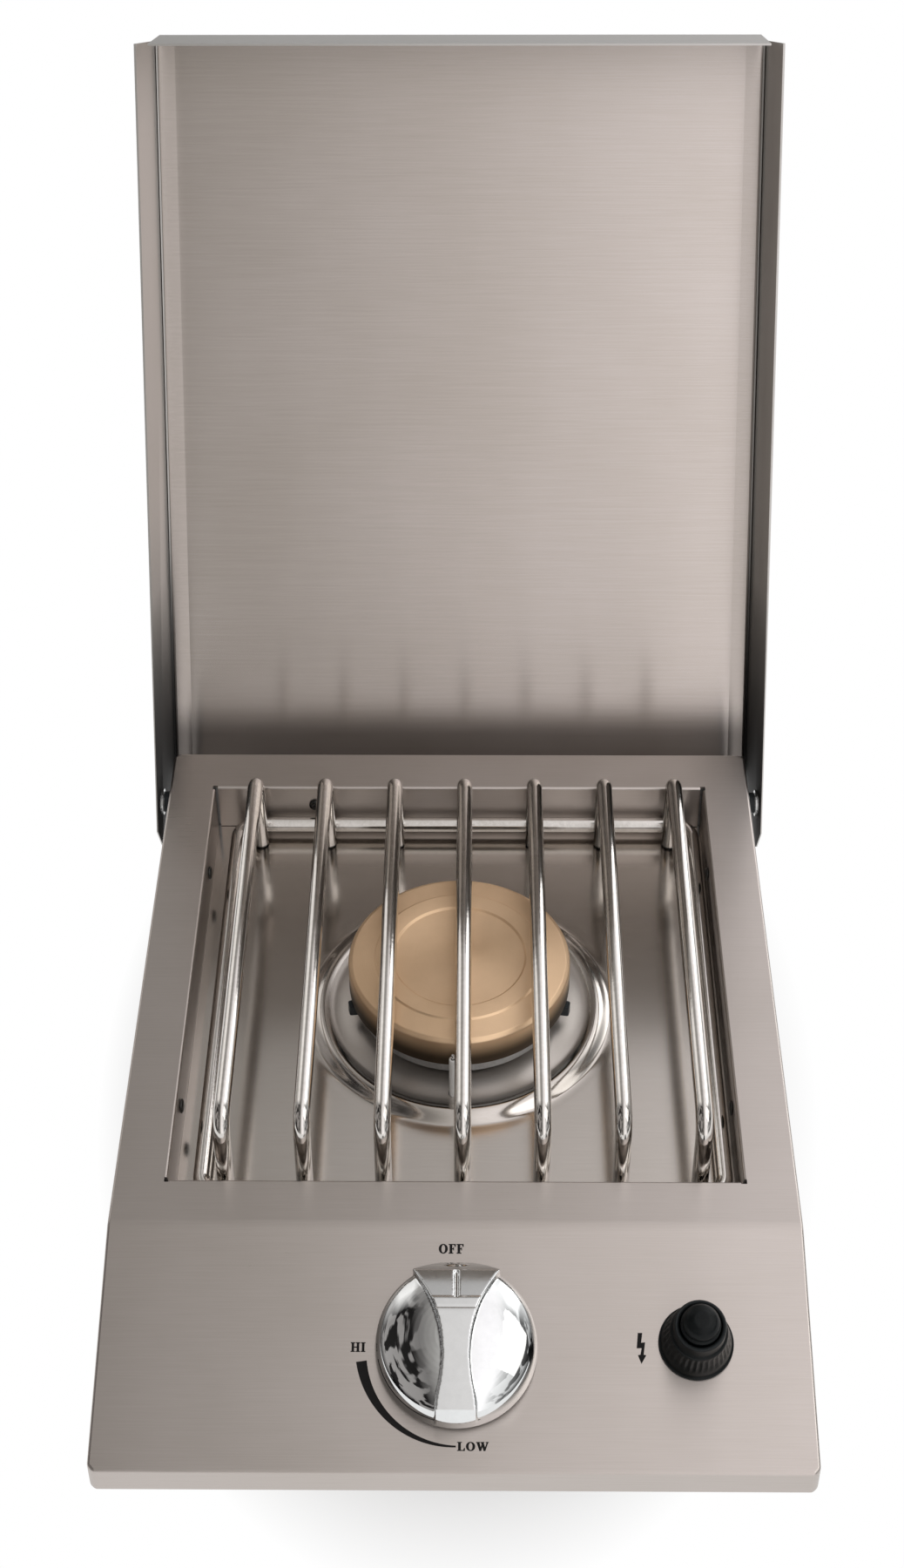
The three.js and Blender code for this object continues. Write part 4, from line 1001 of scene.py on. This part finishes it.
def make_marks():
    word("mark_off", [oval(0.84), F_SHAPE, F_SHAPE], 10.9, 4.3, on_panel(-1.5, 10.9))
    word("mark_high", [H_SHAPE, I_SHAPE], 6.3, 4.1, on_panel(-40.9, 53.9))
    word("mark_low", [L_SHAPE, oval(0.84), W_SHAPE], 13.2, 3.7, on_panel(8.1, 95.1))
    parts = 48
    start, end = math.radians(188), math.radians(270)
    outer, inner = [], []
    for k in range(parts + 1):
        share = k / parts
        turn = start + (end - start) * share
        for line, r in ((outer, 43 - 1.7 * share), (inner, 38.4 + 2.2 * share)):
            line.append((r * math.cos(turn), r * math.sin(turn)))
    bolt = [(0.8, 13.2), (2.7, 13.2), (2.1, 9.0), (3.8, 9.2), (3.0, 3.9), (4.1, 3.7), (1.9, 0),
            (0.5, 3.7), (1.6, 3.9), (2.2, 6.7), (0.1, 6.6)]
    bolt = [(x - 2.1, y - 6.6) for x, y in bolt]
    for name, outline, place in (
        ("mark_flow_arc", outer + inner[::-1], on_panel(*KNOB_PLACE)),
        ("mark_spark", bolt, on_panel(79.7, 53.9)),
    ):
        mark = built(name, *prism(outline, PRINT_LIFT, PRINT_HEIGHT), place)
        dressed(mark, "base", PRINT, sharp=20)


# ---------------------------------------------------------------- kept CAD nodes

KEPT = {
    GALVANISED: ["burner_box", "mixing_tube", "air_shutter", "electrode_clip"],
    VALVE_BRASS: ["gas_valve", "inlet_pipe", "inlet_fitting", "stem_collar"],
    HARDWARE: [
        "electrode_pin", "valve_stem", "hinge_pin_left", "hinge_pin_right",
        "hinge_lid_washer_left", "hinge_lid_washer_right", "hinge_base_washer_left",
        "hinge_base_washer_right", "hinge_nut_left", "hinge_nut_right",
    ],
    BLACK: ["igniter_nut", "igniter_body", "hinge_bush_left", "hinge_bush_right"],
}


def dress_kept_nodes():
    for material, names in KEPT.items():
        for name in names:
            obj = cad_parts[name]
            if not obj.material_slots:
                obj.data.materials.append(None)
            for slot in obj.material_slots:
                slot.link = "OBJECT"
                slot.material = material


# ---------------------------------------------------------------- camera, floor and light

# The photograph's viewpoint, fitted to the deck's and the lid's corners: millimetres from the
# middle of the deck's back edge, and degrees
CAMERA_PLACE = (8.49, -955.26, 864.77)
CAMERA_YAW, CAMERA_PITCH, CAMERA_ROLL = 0.72, 39.75, -0.36
LENS, SENSOR, LENS_SHIFT = 55.1716, 36, -150 / 1800


def make_camera():
    yaw, pitch, roll = [math.radians(a) for a in (CAMERA_YAW, CAMERA_PITCH, CAMERA_ROLL)]
    right = Vector((math.cos(yaw), math.sin(yaw), 0))
    level = math.cos(pitch)
    ahead = Vector((-math.sin(yaw) * level, math.cos(yaw) * level, -math.sin(pitch)))
    up = right.cross(ahead)
    across = right * math.cos(roll) + up * math.sin(roll)
    above = up * math.cos(roll) - right * math.sin(roll)
    lens = bpy.data.cameras.new("photograph")
    lens.lens = LENS
    lens.sensor_width = SENSOR
    lens.shift_y = LENS_SHIFT
    camera = bpy.data.objects.new("photograph", lens)
    bpy.context.scene.collection.objects.link(camera)
    turn = Matrix((across, above, -ahead)).transposed().to_4x4()
    place = DECK @ Vector([c * MM for c in CAMERA_PLACE])
    camera.matrix_world = Matrix.Translation(place) @ turn
    bpy.context.scene.camera = camera
    bpy.context.scene.view_settings.view_transform = "Standard"


WINDOW_PLACE = (1.15, -0.35, 1.35)
WINDOW_AIM = (0, -0.05, 0.1)
WINDOW_SIZE = 1.15
WINDOW_POWER = 5
WINDOW_TINT = (1, 0.98, 0.96)


def make_window():
    lamp = bpy.data.lights.new("window", "AREA")
    lamp.shape = "RECTANGLE"
    lamp.size = lamp.size_y = WINDOW_SIZE
    lamp.energy = WINDOW_POWER
    lamp.color = WINDOW_TINT
    window = bpy.data.objects.new("window", lamp)
    bpy.context.scene.collection.objects.link(window)
    window.location = WINDOW_PLACE
    aim = Vector(WINDOW_AIM) - Vector(WINDOW_PLACE)
    window.rotation_euler = aim.to_track_quat("-Z", "Y").to_euler()
    window.visible_camera = False


ROOM_LEVEL = 4
# Light of the room by direction, from left to right: over and before the object, and behind it
ROOM_ACROSS = [
    (-1, 0.42, 0.95, 0.93), (-0.5, 0.34, 0.95, 0.92), (-0.28, 0.22, 0.95, 0.925),
    (-0.18, 0.36, 0.965, 0.925), (-0.1, 0.55, 0.975, 0.945), (0, 0.84, 0.975, 0.965),
    (0.1, 1.19, 0.975, 0.98), (0.2, 1.26, 0.975, 0.99), (0.35, 1.3, 0.98, 0.99), (0.5, 1.05, 1, 1),
    (0.7, 0.85, 1, 1), (0.85, 0.7, 1, 1), (1, 0.45, 1, 1),
]
ROOM_BEHIND = [
    (-1, 0.7, 0.97, 0.95), (-0.72, 0.8, 0.97, 0.95), (-0.64, 1.5, 0.98, 0.96),
    (-0.46, 1.5, 0.98, 0.96), (-0.38, 0.6, 0.97, 0.94), (-0.25, 0.5, 0.965, 0.93),
    (-0.1, 0.55, 0.975, 0.945), (0, 0.84, 0.975, 0.965), (0.1, 1.2, 0.975, 0.98),
    (0.2, 1.42, 0.975, 0.99), (0.33, 1.7, 0.98, 0.99), (0.45, 1.7, 1, 1), (0.51, 3.4, 1, 1),
    (0.67, 3.4, 1, 1), (0.74, 1.2, 1, 1), (1, 0.8, 1, 1),
]
ROOM_DEPTH = [(-1, 1.03, 1, 1), (-0.5, 1.02, 1, 1), (0, 1, 1, 1), (0.35, 0.92, 1, 1),
              (0.7, 0.72, 1, 1), (1, 0.55, 1, 1)]
# How far walls and furniture break up the room's light, from left to right
ROOM_THINGS = [(-1, 1, 1, 1), (-0.4, 1, 1, 1), (-0.22, 0, 1, 1), (0.4, 0, 1, 1), (0.5, 0.3, 1, 1),
               (0.75, 0.8, 1, 1), (1, 1, 1, 1)]


def make_world():
    """White behind the object, and a plain room that is lighter on the right than on the left."""
    world = bpy.data.worlds.new("studio")
    world.use_nodes = True
    tree = world.node_tree
    tree.nodes.clear()
    way = node(tree, "TexCoord").outputs["Generated"]
    split = node(tree, "SeparateXYZ", way).outputs

    def ramp(axis, stops, scale=1.0):
        colours = node(tree, "ValToRGB", ranged(tree, split[axis], -1.0, 1.0))
        while len(colours.color_ramp.elements) < len(stops):
            colours.color_ramp.elements.new(0.5)
        for element, (at, level, green, blue) in zip(colours.color_ramp.elements, stops):
            level = level / scale
            element.position = (at + 1) / 2
            element.color = (level, level * green, level * blue, 1)
        return colours

    def times(first, second):
        return blended(tree, 1.0, first, second, blend_type="MULTIPLY")

    clouds = node(tree, "TexNoise", in_Vector=way, in_Scale=2.6, in_Detail=2.5, in_Roughness=0.55,
                  in_Distortion=0.6)
    things = ranged(tree, clouds, 0.485, 0.525, 0.05)
    shapes = blended(tree, ramp("X", ROOM_THINGS), WHITE, things)
    rear = ranged(tree, split["Y"], 0.3, 0.6)
    low_edge = ranged(tree, rear, 0.0, 1.0, 0.3, 0.16)
    above = ranged(tree, split["Z"], 0.03, low_edge, 0.12)
    ahead = ranged(tree, split["Y"], -0.55, -0.8, 0.12)
    across = times(ramp("X", ROOM_ACROSS, ROOM_LEVEL), shapes)
    behind = ramp("X", ROOM_BEHIND, ROOM_LEVEL)
    lit = times(blended(tree, rear, across, behind), ramp("Y", ROOM_DEPTH))
    room = node(tree, "Background", times(lit, maths(tree, "MAXIMUM", above, ahead)), ROOM_LEVEL)
    seen = node(tree, "LightPath").outputs["Is Camera Ray"]
    mix = node(tree, "MixShader", seen, room, node(tree, "Background", WHITE))
    feed(tree, mix, node(tree, "OutputWorld").inputs["Surface"])
    bpy.context.scene.world = world


FLOOR_RADIUS = 4000
FLOOR_GREY = 0.82
# Painted shade round the object, where the floor also shows its shadow: the middle and the half
# sizes of an oval, metres
SHADOW_MIDDLE = (0, -0.02, 0)
SHADOW_HALF = (0.15, 0.245)


def make_floor():
    """A pale floor that looks white to the camera and in mirrors, but for the shadow and a painted
    shade in an oval round the object.
    """
    outline = [(FLOOR_RADIUS * math.cos(t), FLOOR_RADIUS * math.sin(t)) for t in round_turns(96)]
    floor = built("floor", *prism(outline, -20, 0), Matrix.Identity(4))
    pale = bpy.data.materials.new("pale floor")
    pale.use_nodes = True
    tree = pale.node_tree
    shader = tree.nodes["Principled BSDF"]
    shader.inputs["Base Color"].default_value = (FLOOR_GREY, FLOOR_GREY, FLOOR_GREY, 1)
    shader.inputs["Roughness"].default_value = 0.9
    place = node(tree, "TexCoord").outputs["Object"]
    shift = vector_maths(tree, "SUBTRACT", place, SHADOW_MIDDLE)
    squash = vector_maths(tree, "MULTIPLY", shift, (1 / SHADOW_HALF[0], 1 / SHADOW_HALF[1], 0))
    # inside the oval less of the floor is white, a painted shade
    open_floor = ranged(tree, vector_maths(tree, "LENGTH", squash), 0.8, 1.25, 0.35)
    seen = node(tree, "LightPath").outputs
    either = maths(tree, "MAXIMUM", seen["Is Camera Ray"], seen["Is Glossy Ray"])
    both = maths(tree, "MAXIMUM", either, seen["Is Transmission Ray"])
    share = maths(tree, "MULTIPLY", both, open_floor)
    mix = node(tree, "MixShader", share, shader, node(tree, "Emission", WHITE, 1.0))
    feed(tree, mix, tree.nodes["Material Output"].inputs["Surface"])
    floor.data.materials.append(pale)


make_camera()
make_world()
make_floor()
make_window()
make_deck()
make_lid()
make_tray()
make_burner()
make_grate()
make_screws()
make_knob()
make_igniter()
make_marks()
dress_kept_nodes()
